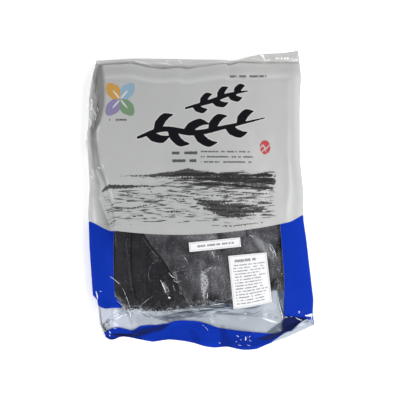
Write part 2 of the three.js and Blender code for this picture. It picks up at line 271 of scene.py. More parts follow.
# Painted shade: places where folded film lies in shade, and the shadow below the info sticker.
SHADES = (
    # The hollow beside the corner that is turned over.
    (0.86, 146, -163, 1, 131, -167, 12, 122, -171, 20),
    (0.86, 119, -169, 18, 113, -178, 12, 103, -184, 9, 95, -190, 5),
    (0.8, 76, -191, 1, 88, -190, 7, 97, -188, 9, 106, -184, 6),
    # The blue band.
    (0.7, -92, -182, 3, -72, -180, 6, -54, -177, 7, -40, -170, 1),
    (1, -119, -184.6, 2, -110, -185.6, 3.8, -98, -186, 4, -88, -185.4, 2.4),
    (0.8, -98, -187, 3, -88, -186.4, 5, -76, -184, 5, -62, -180, 2),
    (0.35, -124, -186, 3, -100, -190, 5, -80, -191, 3),
    (0.35, -12, -180, 6, -5, -192, 12),
    (0.45, 30, -176, 8, 36, -200, 16),
    (0.35, 36, -192, 12, 60, -196, 14, 92, -192, 10),
    (0.3, -60, -192, 2, -40, -189, 4, -20, -191, 2),
    (0.16, -128, -180, 8, -60, -184, 14, 10, -182, 26, 60, -190, 26),
    (0.6, -130, -187, 3, -122, -191, 5, -112, -189, 3),
    (0.6, -112, -188, 3, -98, -188, 4, -80, -190, 3),
    (0.55, -86, -178, 2, -66, -177, 6, -50, -173, 3),
    # The silver part of the foot.
    (0.55, -68, -158, 1.4, -56, -163, 3, -38, -159, 3.8, 12, -152, 3, 44, -149, 1.4),
    (0.62, -54, -164, 3, -40, -164, 9, -24, -160, 8, 6, -157, 2),
    (0.4, -46, -155, 3, -10, -150, 6, 30, -147, 7, 70, -143, 3),
    (0.42, 20, -158, 1.8, 44, -158, 3, 83, -161, 1.2),
    (0.78, 91, -182, 2, 99, -179.5, 7, 106, -176.5, 11, 113, -174.5, 13),
    (0.3, 156, -169, 3, 146, -169, 6),
    (1, 107, -123, 8, 107.6, -132, 8.4, 109, -143, 6.6, 111, -155, 4, 112.4, -163, 1.4),
    # Painted shadow below the info sticker's lower edge.
    (0.72, 54, -149, 1, 63, -150, 3, 73, -149, 3, 80, -147, 1),
    (0.92, 28, -144, 2, 38, -145, 8, 47, -146, 8),
    (0.25, -108, -152, 2, -97, -158, 3, -92, -170, 2),
    (0.45, -132, -172, 2, -124, -178, 3),
    (0.45, -136, -171, 1.6, -133, -181, 3),
    # The valley below the head seal.
    (0.38, -147, 200, 1.2, -100, 203, 1, -75, 198, 1.6, -53, 195, 2.6, -32, 197, 1.8),
    (
        0.38, -32, 197, 1.8, -20, 195, 1.6, 4, 199, 1, 36, 203, 0.8,
        42, 200, 2, 57, 204, 1, 94, 203, 0.6,
    ),
    (0.22, -70, 203, 2, -50, 200, 4, -26, 200, 4, -18, 198, 2),
    (0.16, 128, 206, 2, 118, 200, 3, 106, 192, 1),
)
# Places where the lining below the kelp is crushed into fine folds, painted as streaks of shade and
# highlight.
CRUSHED_LIGHT_AND_SHADE = (
    (1, -40, -151, 2, -16, -148, 6, 4, -148, 7, 24, -146, 11, 45, -146, 11),
    (0.8, -50, -156, 2, -20, -154, 6, 10, -154, 6, 44, -155, 2),
    (0.55, -62, -161, 2, -46, -162.5, 8, -28, -160, 6),
    (0.5, -46, -168, 3, -20, -162, 6, 20, -160, 3),
    (0.35, -118, -158, 3, -104, -156, 5, -90, -157, 3),
    (0.4, 60, -156, 3, 84, -158, 7, 104, -163, 3),
)
# Painted light: places where the film and lining are painted pale, as if open to the light.
PALE_LIGHTS = (
    (0.62, -142, -151, 12, -136, -162, 12, -134, -172, 4),
    (0.62, -134, -154, 14, -120, -161, 26, -106, -166, 22, -96, -175, 8),
    (0.4, -104, -153, 5, -90, -155, 6, -76, -158, 2),
    (0.4, -101, -156, 14, -93, -164, 16, -88, -173, 8),
)
# Painted sheen: places where speckled reflections of light are painted on the clear film.
SPECKLED_SHEENS = (
    (0.85, 3, -104, 5, 5.5, -112, 11, 5.5, -125, 8, 5.5, -140, 2),
    (0.5, 6, -103, 5, 14, -98, 5, 24, -96, 3),
    (0.6, -4, -141, 3, 8, -142, 5, 16, -142, 2),
    (0.26, 12, -104, 4, 29, -104, 16, 34, -118, 17, 32, -136, 8),
    (0.16, 80, -60, 6, 89, -69, 13, 95, -77, 10, 100, -86, 4),
    (0.08, 56, -48, 8, 74, -50, 12, 92, -52, 8),
    (0.5, 46, -134, 12, 42, -116, 6),
    (0.2, 98, -96, 14, 106, -118, 14),
    (0.12, -58, -56, 8, -50, -70, 6),
    (0.22, -64, -78, 9, -56, -88, 8),
    (0.3, -30, -74, 12, -18, -88, 9),
    (0.5, -34, -104, 6, -32, -114, 5),
    (0.35, -18, -110, 6, -5, -113, 6),
    (0.35, -28, -118, 5, -25, -130, 5),
    (0.1, -124, -157, 5, -112, -160, 9, -100, -158, 6),
    (0.7, -105, -148, 3, -98, -152, 5, -88, -154, 2),
    (0.15, -92, -158, 3, -86, -164, 8, -80, -170, 3),
    (0.2, -110, -148, 5, -84, -149, 4, -58, -151, 4),
    (0.18, -44, -150, 5, -10, -146, 8, 30, -143, 8, 60, -138, 4),
)
# Painted sheen: smooth reflections of light painted on the clear film.
SHEENS = (
    (0.86, 70, -54, 3, 80, -63, 12, 89, -74, 11, 97, -86, 3),
    (0.62, 4, -105, 10, 5, -117, 14, 5, -133, 6),
    (0.5, 8, -101, 6, 17, -97, 10, 28, -98, 6),
    (0.12, 30, -100, 10, 32, -114, 14, 28, -130, 8),
    (0.1, -22, -128, 8, -10, -128, 10, 0, -126, 6),
    (0.2, 44, -122, 6, 42, -134, 7),
    (0.2, -38, -118, 4, -34, -127, 6, -31, -136, 4),
    (0.08, -110, -66, 4, -108, -90, 6),
)

# ---- Thin lines: the place across, the place up and the width at each point ----------------------
# Painted highlights: glints of light painted as bright lines where the film is bent sharply.
GLINTS = (
    # Over the kelp.
    (-121, -108, 0.3, -114, -113, 0.7, -107, -119, 0.4),
    (-104, -123, 0.2, -99, -134, 0.5, -93, -150, 0.35),
    (-112, -140, 0.1, -107, -144, 0.3, -102, -149, 0.2),
    (-64, -135, 0.2, -72, -141, 0.4, -80, -148, 0.4),
    (-53, -113, 0.4, -49, -121, 1.5, -45, -131, 0.4),
    (-48, -115, 0.1, -44, -122, 0.3, -41, -129, 0.1),
    (-42, -136, 1.8, -40, -137, 1.9),
    (-56, -86, 0.05, -63, -90, 0.2, -68, -99, 0.2, -69, -109, 0.16, -65, -116, 0.05),
    (-42, -103, 0.3, -38, -108, 0.9, -34, -110, 0.4),
    (-36, -113, 0.2, -31, -116, 0.4, -24, -114, 0.2),
    (-36, -120, 0.4, -33, -128, 0.2),
    (-36, -103, 0.05, -22, -100, 0.16, -8, -98, 0.05),
    (16, -75, 0.8, 20, -83, 0.3),
    (24, -80, 0.5, 25, -84, 0.5),
    (-21, -83, 0.5, -17, -88, 0.3),
    (10, -128, 0.2, 10, -134, 0.7, 9, -138, 0.7),
    (2, -100, 0.1, 4, -106, 0.3, 3, -112, 0.1),
    (66, -52, 0.3, 72, -55, 0.4),
    (96, -64, 0.2, 101, -76, 0.7, 104, -86, 0.2),
    (102, -98, 0.5, 107, -100, 0.5),
    # Over the silver part of the foot.
    (-52, -160, 0.1, -24, -154, 0.4, 4, -151, 0.6, 18, -150, 0.2),
    (14, -146.5, 0.2, 24, -145, 0.7, 33, -143.5, 0.2),
    (-84, -153, 0.3, -76, -156, 0.7, -70, -155, 0.2),
    (-10, -154, 0.1, 14, -151, 0.3, 40, -150, 0.1),
    (12, -157, 0.6, 17, -161, 0.5, 20, -168, 0.4),
    (-6, -159, 0.5, -3, -156, 0.4, 3, -157, 0.2),
    (76, -160.8, 0.3, 82.7, -163.2, 0.6, 90.2, -165.6, 1.9, 96.6, -167.6, 2.4, 104.3, -168.9, 0.6),
    (60, -157, 1.4, 62, -158, 1),
    (-66, -163, 0.7, -61, -161, 0.4),
    (-117, -166, 0.3, -108, -162, 1.6, -101, -157, 0.3),
    (-104, -161, 0.3, -98, -158, 1.2),
    (-96, -153, 0.6, -93, -158, 1, -94, -164, 0.5),
    (-92, -155, 0.4, -86, -152, 0.9, -80, -153, 0.3),
    (103.3, -130, 0.2, 105, -141, 0.6, 108, -152, 0.8, 110.8, -161, 1.3, 111.6, -166, 0.3),
    # Over the blue print.
    (-142, -127, 1, -140, -133, 1.8, -141, -139, 0.9),
    (-136, -127, 0.7, -133, -128, 0.3),
    (3, -172, 0.3, 8, -176, 0.3, 11, -180, 0.15),
    (49, -186, 0.5, 52, -188, 0.7),
    (54, -192, 0.4, 56, -192, 0.6),
    (48, -195, 0.4, 50, -194, 0.4),
    (61, -188, 0.6, 61.5, -191, 1.9, 61, -193, 0.9),
    (67, -187, 0.7, 66, -189, 0.5),
    (66, -192, 0.4, 69, -194, 0.4),
    (52, -199, 0.3, 56, -200, 0.5),
    (64, -199, 0.4, 68, -200, 0.3),
    (-122, -181, 1, -121, -183, 1),
    (-123, -186, 1.1, -122.5, -187, 0.8),
    (-116, -177, 0.4, -112, -177, 0.2),
    (26, -196, 0.6, 28, -197, 0.4),
    (114, -162, 0.5, 118, -162, 0.7),
    (122, -161.5, 0.3, 125, -161, 0.5),
    (134, -154, 1.2, 134.5, -156, 1.6),
    (144, -159.5, 1, 149, -159.5, 3.2, 155, -158.5, 4.2),
    (154, -161, 1.8, 154.5, -166, 1.4, 156, -170, 0.8),
    (130, -162, 0.5, 136, -165, 0.9, 140, -166, 0.5),
    (150, -166, 0.9, 153, -168, 0.4),
    (133, -172, 0.2, 141, -168, 0.4, 147, -165, 0.5),
    # On the tucked side.
    (-155, 146, 0.9, -154, 138, 1.7, -156, 130, 0.8),
    (-152, 128, 1, -148, 122, 1.5, -149, 114, 0.6),
    (-146, 132, 0.9, -144, 126, 0.5),
    (-158, 118, 0.9, -155, 110, 1.4, -158, 104, 0.6),
    (-161, 96, 0.5, -159, 84, 0.9, -160, 66, 0.5),
    (-142, 44, 1.2, -139, 42, 0.8),
    (-134, 45, 0.9, -132, 41, 0.5),
    (-154, 34, 1.1, -150, 30, 0.6),
    # On the head seal.
    (-140, 205, 0.3, -112, 206, 0.9, -98, 208, 0.3),
    (-94, 208, 0.4, -86, 206, 0.9, -76, 204, 0.4),
    (-64, 205, 0.3, -50, 204, 0.8, -40, 201, 0.3),
    (-30, 209, 1.4, -26, 204, 0.4),
    (-50, 209, 1, -46, 206, 0.3),
    (26, 204, 0.6, 36, 207, 1.3, 44, 206, 0.4),
    (76, 213, 0.5, 92, 209, 0.5),
    (118, 208, 0.8, 121, 203, 0.5),
)
# Painted shadow: dark lines along folds, creases, sheet edges and the bag's rim.
FOLD_SHADOW_LINES = (
    (
        -147, 201.5, 0.8, -100, 204, 0.8, -92, 206, 0.4,
        -75, 198.5, 0.9, -53, 195.5, 1.3, -32, 198, 1.1,
    ),
    (
        -32, 198, 1.3, -24, 195, 1.2, 4, 199.5, 0.9, 36, 204, 0.6,
        42, 201, 1.4, 57, 205, 0.7, 80, 206, 0.3,
    ),
    (-82, -153, 0.5, -72, -161, 1, -60, -163, 0.4),
    (-40, -160, 0.4, -28, -156, 1.2, -8, -153, 1, 20, -153, 0.4),
    (-30, -152, 0.5, -6, -149, 1.4, 22, -146, 1.8, 52, -143, 0.6),
    (-47, -56, 0.4, -48, -66, 1.2, -47, -78, 0.4),
    (-112, -143, 0.8, -106, -147, 1.6, -100, -150, 0.8),
    (-78, -56, 0.4, -66, -72, 1, -56, -84, 0.4),
    (-100, -60, 0.6, -97, -90, 1.6, -92, -122, 0.8),
    (30, -108, 0.3, 33, -120, 0.7, 28, -134, 0.3),
    (-150, 196, 0.5, -153, 180, 1, -151, 168, 0.5),
    (-151.5, 206, 0.8, -156, 182, 1.4, -161, 148, 1.2, -161, 112, 0.6),
    (-163, 92, 0.6, -163.3, 82, 1.6, -162, 72, 0.6),
    (-146, 176, 0.4, -150, 158, 1.2, -147, 148, 0.4),
    (-142, 150, 0.4, -146, 138, 1, -142, 124, 0.5),
    (-154, 122, 0.4, -152, 112, 1, -155, 100, 0.4),
    (22, -157, 0.3, 44, -158, 1, 60, -158, 0.4),
    (62, -159, 0.3, 74, -157, 0.7, 84, -152, 0.3),
    (-117, -185, 1, -104, -185.8, 2.4, -92, -185.4, 1.2),
    (-92, -181, 0.4, -76, -183, 0.8, -60, -182, 0.4),
    (-132, -172.5, 1.2, -130, -170.5, 2, -128.5, -171, 0.8),
    (-126.5, -166.5, 1.2, -125.5, -169, 2.2, -123.6, -170, 0.9),
    (-124.5, -164.5, 0.8, -122.2, -165.5, 1.6, -122, -168, 1),
    (-120.5, -171.5, 0.8, -122.5, -173, 1.5, -124.5, -172.5, 0.6),
    (-118, -165, 0.6, -116, -166.5, 1.1),
    (-133.2, -173, 1.4, -131.4, -175.4, 2.4, -128.5, -178.6, 3.4, -125, -181.5, 2),
    (-60, -70, 0.3, -48, -86, 1.2, -40, -100, 0.6),
    (-48, -108, 0.8, -44, -118, 2.2, -41, -130, 0.8),
    (-135, 8, 0.4, -131, -2, 0.9, -126, -8, 0.4),
    (-128, 4, 0.3, -124, -6, 1.1, -118, -12, 0.5),
    (-122, -26, 0.5, -114, -28, 1.8, -106, -26, 0.6),
)

# ---- Cells of the pieces ------------------------------------------------------------------------
FILM_COLUMNS = (36, 192, 32)
FILM_ROWS = (34, 44, 76, 168, 14)
WINDOW_CORNER_COLUMN = 4  # the clear film beside the window starts at this column
HEM_RINGS = 4
HEM_STEP = 1.5
HEM_DROP = 0.35
HEM_FLOOR = 0.05
BACK_CELLS = (96, 128)
BACK_ROWS = (0.1, 0.1, 0.2, 0.5, 0.1)  # shares of all rows
FIN_MIDDLE = 4
FIN_HALF = 8
LINING_CELLS = (190, 60)
LINING_LEFT = -137
UV_SPAN = 500  # the film's UV map covers this many millimetres each way, about the drawing's origin
PLACING_ROUNDS = 8
BAND_GAP = 4  # the blue band is at least this high
ABOVE_ALL = 0.2  # metres


# ---- Numbers and curves -------------------------------------------------------------------------
FAR = 1e6
BLUR_STEPS = 9
CREASE_TIP = 0.25  # share of its reach over which a crease is rounded
CREASE_END = 0.25  # share of its height that is left at its ends
CREASE_FADE = 0.6


def mix(low, high, share):
    return low + (high - low) * share


def between(value, low, high):
    return (value - low) / (high - low)


def smoothstep(value, low, high):
    """Rises smoothly from 0 at low to 1 at high."""
    share = np.clip(between(value, low, high), 0, 1)
    return share * share * (3 - 2 * share)


def fall(value, low, high):
    """Falls smoothly from 1 at low to 0 at high."""
    return smoothstep(-value, -high, -low)


def swell(share):
    """Rises from 0 to 1 half way and falls back to 0."""
    return np.sin(np.pi * np.clip(share, 0, 1))


def bell(offset, reach):
    """1 at no offset, fading out to both sides."""
    return np.exp(-((offset / reach) ** 2))


def shoulder(distance, reach, power):
    """Rises from 0 at a seam to 1 at reach inwards, rounder for a larger power."""
    rest = 1 - np.clip(distance / reach, 0, 1)
    return (1 - rest**power) ** (1 / power)


def along_stops(cell, stops, cells):
    """The value at each cell number, between stops that may differ from place to place."""
    value = np.zeros_like(cell)
    start = 0
    for low, high, count in zip(stops, stops[1:], cells):
        inside = (cell >= start) & (cell <= start + count)
        value = np.where(inside, mix(low, high, (cell - start) / count), value)
        start += count
    return value


def soft_line(x, points, blur):
    """A line through points, with its corners rounded over blur each way."""
    across, up = zip(*points)
    shifts = np.linspace(-blur, blur, BLUR_STEPS)
    return sum(np.interp(x + shift, across, up) for shift in shifts) / len(shifts)


def distance_to_line(x, y, start, end):
    """How far each place is from the line, and how far along it, from 0 to 1."""
    dx, dy = end[0] - start[0], end[1] - start[1]
    share = np.clip(((x - start[0]) * dx + (y - start[1]) * dy) / (dx * dx + dy * dy), 0, 1)
    return np.hypot(x - start[0] - share * dx, y - start[1] - share * dy), share


def creases(x, y, lines):
    """The height of sharp creases that fade towards their ends."""
    height = np.zeros_like(x)
    for left_reach, right_reach, rise, *places in lines:
        points = np.reshape(places, (-1, 2))
        gap = np.full_like(x, FAR)
        side = np.zeros_like(x)
        along = np.zeros_like(x)
        parts = len(points) - 1
        for number, (start, end) in enumerate(zip(points, points[1:])):
            near, share = distance_to_line(x, y, start, end)
            closer = near < gap
            turn = (end[0] - start[0]) * (y - start[1]) - (end[1] - start[1]) * (x - start[0])
            gap = np.where(closer, near, gap)
            side = np.where(closer, turn, side)
            along = np.where(closer, (number + share) / parts, along)
        reach = np.where(side > 0, left_reach, right_reach)
        tip = CREASE_TIP * reach
        rounded = np.sqrt(gap**2 + tip**2) - tip
        length_share = mix(CREASE_END, 1, swell(along) ** CREASE_FADE)
        height += rise * np.exp(-rounded / reach) * length_share
    return height


def cell_borders(x, y, size, seed):
    """Noise that is 0 on the borders of random cells and rises inside them."""
    found = (noise.voronoi((a / size, b / size, seed))[0] for a, b in zip(x, y))
    return np.array([near[1] - near[0] for near in found])


def ripple(x, y, size, seed):
    """Soft noise from about -1 to 1."""
    return np.array([noise.noise((a / size, b / size, seed)) for a, b in zip(x, y)])


# ---- The pack's drawing -------------------------------------------------------------------------
def along_side(y, points, blur=SIDE_BLUR):
    """Where a side that runs from foot to head stands at each height."""
    return soft_line(y, [(up, across) for across, up in points], blur)


def left_edge(y):
    return along_side(y, LEFT_SIDE)


def right_edge(y):
    return along_side(y, RIGHT_SIDE)


def head_edge(x):
    return soft_line(x, HEAD_END, HEAD_BLUR)


def foot_edge(x):
    return soft_line(x, FOOT_END, FOOT_BLUR)


def fold_left(y):
    return along_side(y, FOLD_LEFT)


def face_left(y):
    """Where the bag's face starts: at the fold, but nearer the middle towards the foot."""
    return mix(FACE_LEFT_FOOT, fold_left(y), smoothstep(y, TUCK_START, TUCK_FULL))


def face_right(y):
    return mix(FACE_RIGHT_FOOT, right_edge(y) - RIGHT_REACH, smoothstep(y, *RIGHT_WIDENS))


def kelp_end(x):
    return np.interp(x, *zip(*KELP_END))


def shown_end(x):
    """Where the kelp that shows ends, a little above the stack below it."""
    return kelp_end(x) + soft_line(x, KELP_RAISED, KELP_BLUR)


def foot_top(x):
    return kelp_end(x) + FOOT_TOP_GAP


def seal_line(x):
    return soft_line(x, SEAL_END, SEAL_BLUR)


def window_top(x):
    """The arc between the print and the window, lifted towards the bag's sides."""
    arc = ARC_LOWEST + ARC_RADIUS - np.sqrt(ARC_RADIUS**2 - (x - ARC_MIDDLE) ** 2)
    lifts = (lift * smoothstep(between(x, start, end), 0, 1) for start, end, lift in ARC_LIFTS)
    return arc + sum(lifts)


def window_right(y):
    return along_side(y, WINDOW_RIGHT_LINE)


def stripe_foot(x):
    return soft_line(x, STRIPE_FOOT, STRIPE_BLUR)


def band_top(x):
    return soft_line(x, BAND_TOP, BAND_BLUR)


def seam_height(y):
    return mix(SIDE_SEAM, HEAD_SEAM, smoothstep(y, *SEAM_CLIMB))


def left_rise(x, y):
    """The rise of the left side, from 0 at its edge to 1: round at the foot, tucked above."""
    share = between(x, left_edge(y), face_left(y))
    valley = along_side(y, TUCK_VALLEY)
    ledge = TUCK_LEDGE * shoulder(share, TUCK_LEDGE_REACH * valley, LEDGE_ROUND)
    tucked = ledge + (1 - TUCK_LEDGE) * np.clip(between(share, valley, 1), 0, 1)
    return mix(shoulder(share, 1, LEFT_ROUND), tucked, smoothstep(y, TUCK_START, TUCK_FULL))


def smooth_height(x, y):
    """The front film without its folds."""
    crown_x, crown_y = CROWN_REACH
    crown = CROWN * (1 - (x / crown_x) ** 2) * (1 - ((y - CROWN_MIDDLE) / crown_y) ** 2)
    rolling = sum(height * np.sin(x / across + y / along) for height, across, along in ROLLS)
    seam = seam_height(y)
    rise = left_rise(x, y) * shoulder(right_edge(y) - x, right_edge(y) - face_right(y), ROUND)
    rise = rise * shoulder(y - foot_edge(x), foot_top(x) - foot_edge(x), FOOT_ROUND)
    rise = rise * swell(np.clip((seal_line(x) - y) / HEAD_REACH, 0, 1) / 2) ** HEAD_POWER
    slope = swell(between(y, foot_edge(x), foot_top(x)))
    lobes = sum(up * bell(x - at, reach) for at, reach, up in FOOT_LOBES)
    return seam + (CONTENTS + crown + rolling - seam) * rise + slope * lobes


def front_height(x, y):
    """The front film with the valley at its head seal and the folds of its foot."""
    height = smooth_height(x, y) - HEAD_VALLEY * bell(y - seal_line(x), VALLEY_REACH)
    for start, end, reach, depth in FOOT_FOLDS:
        height = height - depth * bell(distance_to_line(x, y, start, end)[0], reach)
    return np.maximum(height, seam_height(y) - HEAD_VALLEY)


def back_height(x, y):
    """The back film, which rises from the floor to the seams."""
    inside = shoulder(x - left_edge(y), UNDER_REACH, ROUND)
    inside = inside * shoulder(right_edge(y) - x, UNDER_REACH, ROUND)
    inside = inside * shoulder(y - foot_edge(x), UNDER_REACH, ROUND)
    inside = inside * shoulder(seal_line(x) - y, 2 * UNDER_REACH, ROUND)
    return (seam_height(y) - HEAD_VALLEY) * (1 - inside) ** UNDER_POWER


def place_at(column, row, columns, rows):
    """The place on the drawing of each column and row of cells."""
    x = np.zeros_like(column)
    y = np.zeros_like(row)
    for _ in range(PLACING_ROUNDS):
        sides = (left_edge(y), fold_left(y), window_right(y), right_edge(y))
        x = along_stops(column, sides, columns)
        band = np.maximum(band_top(x), foot_edge(x) + BAND_GAP)
        ends = (foot_edge(x), band, stripe_foot(x), window_top(x), seal_line(x), head_edge(x))
        y = along_stops(row, ends, rows)
    return x, y


def drawing_shift():
    """How far the drawing's origin lies from the frame's, in millimetres."""
    sides = [across for across, _ in LEFT_SIDE + RIGHT_SIDE]
    ends = [up for _, up in FOOT_END + HEAD_END]
    return -(min(sides) + max(sides)) / 2, -(min(ends) + max(ends)) / 2


SHIFT_X, SHIFT_Y = drawing_shift()


# ---- Meshes -------------------------------------------------------------------------------------
def deselect_all():
    if bpy.context.object and bpy.context.object.mode != "OBJECT":
        bpy.ops.object.mode_set(mode="OBJECT")
    bpy.ops.object.select_all(action="DESELECT")


def corners_of(piece):
    """The piece's corners on the drawing, in millimetres, as three arrays."""
    flat = np.empty(len(piece.data.vertices) * 3, np.float32)
    piece.data.vertices.foreach_get("co", flat)
    x, y, z = flat.astype(float).reshape(-1, 3).T / MM
    return x - SHIFT_X, y - SHIFT_Y, z


def put_corners(piece, x, y, z):
    """Moves the piece's corners to those places on the drawing."""
    places = np.stack([x + SHIFT_X, y + SHIFT_Y, z], axis=1) * MM
    piece.data.vertices.foreach_set("co", places.astype(np.float32).ravel())
    piece.data.update()


def add_grid(name, columns, rows):
    """Adds a flat grid and returns it with each corner's column and row."""
    deselect_all()
    bpy.ops.mesh.primitive_grid_add(x_subdivisions=columns, y_subdivisions=rows, size=1)
    piece = bpy.context.object
    piece.name = name
    piece.data.name = name
    flat = np.empty(len(piece.data.vertices) * 3, np.float32)
    piece.data.vertices.foreach_get("co", flat)
    across, up, _ = flat.astype(float).reshape(-1, 3).T
    return piece, np.round((across + 0.5) * columns), np.round((up + 0.5) * rows)


def cells_from_rim(column, row, columns, rows):
    """How many cells each corner of a grid lies from the rim."""
    return np.minimum.reduce([column, columns - column, row, rows - row])


def corners_of_faces(piece):
    """The number of the corner at each place round each face."""
    index = np.empty(len(piece.data.loops), np.int32)
    piece.data.loops.foreach_get("vertex_index", index)
    return index


def set_uv(piece, u, v):
    """Gives every corner its place on the piece's UV map."""
    if not piece.data.uv_layers:
        piece.data.uv_layers.new(name="UVMap")
    index = corners_of_faces(piece)
    pairs = np.stack([u[index], v[index]], axis=1).astype(np.float32)
    piece.data.uv_layers[0].data.foreach_set("uv", pairs.ravel())


def set_fields(piece, **fields):
    """Stores numbers for every corner under their names, for the piece's material to read."""
    for name, values in fields.items():
        field = piece.data.attributes.new(name, "FLOAT", "POINT")
        field.data.foreach_set("value", np.asarray(values, np.float32))


def apply_modifier(piece, kind, **settings):
    modifier = piece.modifiers.new(kind.title(), kind)
    for key, value in settings.items():
        setattr(modifier, key, value)
    bpy.context.view_layer.objects.active = piece
    bpy.ops.object.modifier_apply(modifier=modifier.name)


def smooth_shading(piece):
    deselect_all()
    piece.select_set(True)
    bpy.context.view_layer.objects.active = piece
    bpy.ops.object.shade_smooth()


def finish_piece(piece, slot, *nodes):
    """Shades a piece smooth, lets it ride on the pack and stands for the nodes; slot is not used.
    """
    smooth_shading(piece)
    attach(piece, "root")
    if nodes:
        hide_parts(*nodes)


class Cover:
    """The outside of a finished piece, to lay other pieces on or under."""

    def __init__(self, piece):
        mesh = piece.data
        corners = [tuple(corner.co) for corner in mesh.vertices]
        faces = [tuple(face.vertices) for face in mesh.polygons]
        self.tree = BVHTree.FromPolygons(corners, faces)

    def height(self, x, y):
        """The height of the cover above each place on the drawing, in millimetres."""
        heights = []
        for a, b in zip(x, y):
            start = Vector(((a + SHIFT_X) * MM, (b + SHIFT_Y) * MM, ABOVE_ALL))
            hit = self.tree.ray_cast(start, Vector((0, 0, -1)))[0]
            heights.append(hit.z / MM if hit else 0)
        return np.array(heights)


# ---- Brush drawing: fields that tell how far inside a printed shape each place lies -------------
OUTSIDE = -60.0
STROKE_PARTS = 6
LINE_PARTS = 4
LINE_REACH = 2.6  # a thin line is read only this near to it
NO_LINE = -4.0

# Both kelp fronds: stem, its widths, how many blades, and their length and width.
FRONDS = (
    (((-86, 84), (-50, 96), (-8, 90), (36, 99), (90, 112)), (4, 7.5, 8.5, 7.5, 5, 1.5), 8, 36, 13),
    (((-20, 126), (12, 135), (40, 146), (68, 152)), (3, 6.5, 5.5, 1.6), 6, 22, 10),
)
BLADE_LEAN = 0.8
BLADE_STEPS = ((0.35, 1.0), (0.7, 0.9), (1.0, 0.6))  # how far along, and the share of the lean
BLADE_WIDTHS = (0.35, 1, 0.85, 0.1)
BLADE_FIRST, BLADE_LAST = 0.8, 0.6  # free ends of the stem, in spaces between blades
LONGEST_BLADE = 0.4  # share of the stem
BLADE_REACH, BLADE_SHRINKS = 1.05, 0.5

# Brushed lines over the water: the place across, the place up and the width at each point.
WATER_STROKES = (
    (-36, 26, 1, 48, 24, 7, 100, 22, 9),
    (-40, 19, 0.6, 30, 17, 4.4, 99, 12, 3.4),
    (-135, 11, 3, -126, 14, 6, -104, 14, 5, -66, 15, 1),
    (-102, 8, 0.4, -92, 0, 1.1, -70, -3, 0.9, -46, -2, 0.4),
    (-70, 10, 0.4, -58, 2, 1.1, -30, -3, 1, -6, -3, 0.5),
    (-30, 8, 0.4, -6, 3, 1, 30, 2, 1.4, 96, 5, 0.8),
    (-110, -17, 0.6, -88, -15, 2.2, -62, -9, 0.8),
    (-98, -27, 0.5, -78, -26, 1.8),
    (-60, -18, 0.5, -40, -21, 2, -14, -19, 0.6),
    (-54, -28, 0.5, -34, -27, 1.2),
    (16, -39, 1, 44, -40, 1.6, 86, -35, 0.8),
    (62, -6, 0.5, 84, -7, 1.4, 99, -5, 0.5),
    (76, -16, 0.4, 92, -17, 1.1),
)
# The far shore: its crest and foot, its ends and their taper, and its hills: where, width, height.
SHORE_CREST, SHORE_FOOT = 30, 28.5
SHORE_LEFT, SHORE_RIGHT = -104, 103
SHORE_TAPER = 0.12
HILLS = ((-18, 15, 8), (-46, 20, 4.5), (8, 20, 4.5), (44, 18, 3), (88, 14, 4))
# Ledges of the rock in the shallows: left, right, height in the middle and thickness.
LEDGES = ((-8, 44, -6, 4.5), (-4, 78, -12, 6.5), (6, 84, -19, 7.5), (18, 76, -25, 4.5))
LEDGE_BEND = 0.4  # share of a ledge's length at which it is lowest
LEDGE_WIDTHS = (0.4, 1, 1.1, 0.3)

# The brushed water: its soft borders, its top at the left and right with the climb between them,
# and how thin it is where it starts to grow denser, up and across.
WASH_LEFT, WASH_RIGHT, WASH_FOOT = (-138, -118), (96, 106), (-42, -26)
WASH_TOPS, WASH_CLIMB = (18, 36), (-104, -60)
WASH_THIN, WASH_GROWS_UP, WASH_GROWS_ACROSS = 0.35, (-4, 26), (-60, 20)

# The four leaves: their root, turns in degrees, stretch upwards, ends, and widths with the veins'.
LEAF_ROOT = (-112, 139.5)
LEAF_TURNS = (135, 45, 225, 315)
LEAF_STRETCH = 1.25
LEAF_ENDS = (2.5, 25.5)
LEAF_WIDTHS = (3, 17, 19, 13, 2)
VEIN_WIDTHS = (2.2, 2.6, 1.6)

# The red blot: its middle, radius and squeeze, and the waves left out of it.
BLOT_MIDDLE = (90, 70)
BLOT_RADIUS = 8.5
BLOT_SQUEEZE = (1.15, 0.85)
BLOT_WAVES = (
    (((83, 68), (87, 73), (91, 68), (96, 73)), (1.2, 2.2, 1.2)),
    (((84, 62), (89, 66), (94, 61)), (0.8, 1.8, 0.8)),
)

# By the head seal: a white streak, and the row of white marks with each one's place across and
# width.
WHITE_STREAK = (((90, 219.5), (96, 208)), (5, 0.8))
MARKS_UP = 212.5
MARKS = ((112, 3.0), (115, 2.4), (119.5, 3.2), (124.5, 3.4), (128.5, 3.4), (134, 1.6))


def smooth_path(points, parts=STROKE_PARTS):
    """Places along a smooth curve through the points."""
    points = [np.array(p, float) for p in points]
    ends = [2 * points[0] - points[1], *points, 2 * points[-1] - points[-2]]
    path = []
    for before, start, end, after in zip(ends, ends[1:], ends[2:], ends[3:]):
        for t in np.arange(parts) / parts:
            slope = end - before
            bend = 2 * before - 5 * start + 4 * end - after
            twist = 3 * start - before - 3 * end + after
            path.append(0.5 * (2 * start + slope * t + bend * t**2 + twist * t**3))
    return [*path, points[-1]]


def points_and_widths(row):
    """Splits a row that gives the place across, the place up and the width by turns."""
    table = np.reshape(row, (-1, 3)).astype(float)
    return table[:, :2], table[:, 2]


def stroke_steps(points, widths, parts):
    """Each short step along a stroke: its start and end, and its width at both."""
    path = smooth_path(points, parts)
    shares = np.linspace(0, 1, len(path))
    width = np.interp(shares, np.linspace(0, 1, len(widths)), widths)
    return zip(path, path[1:], width, width[1:])


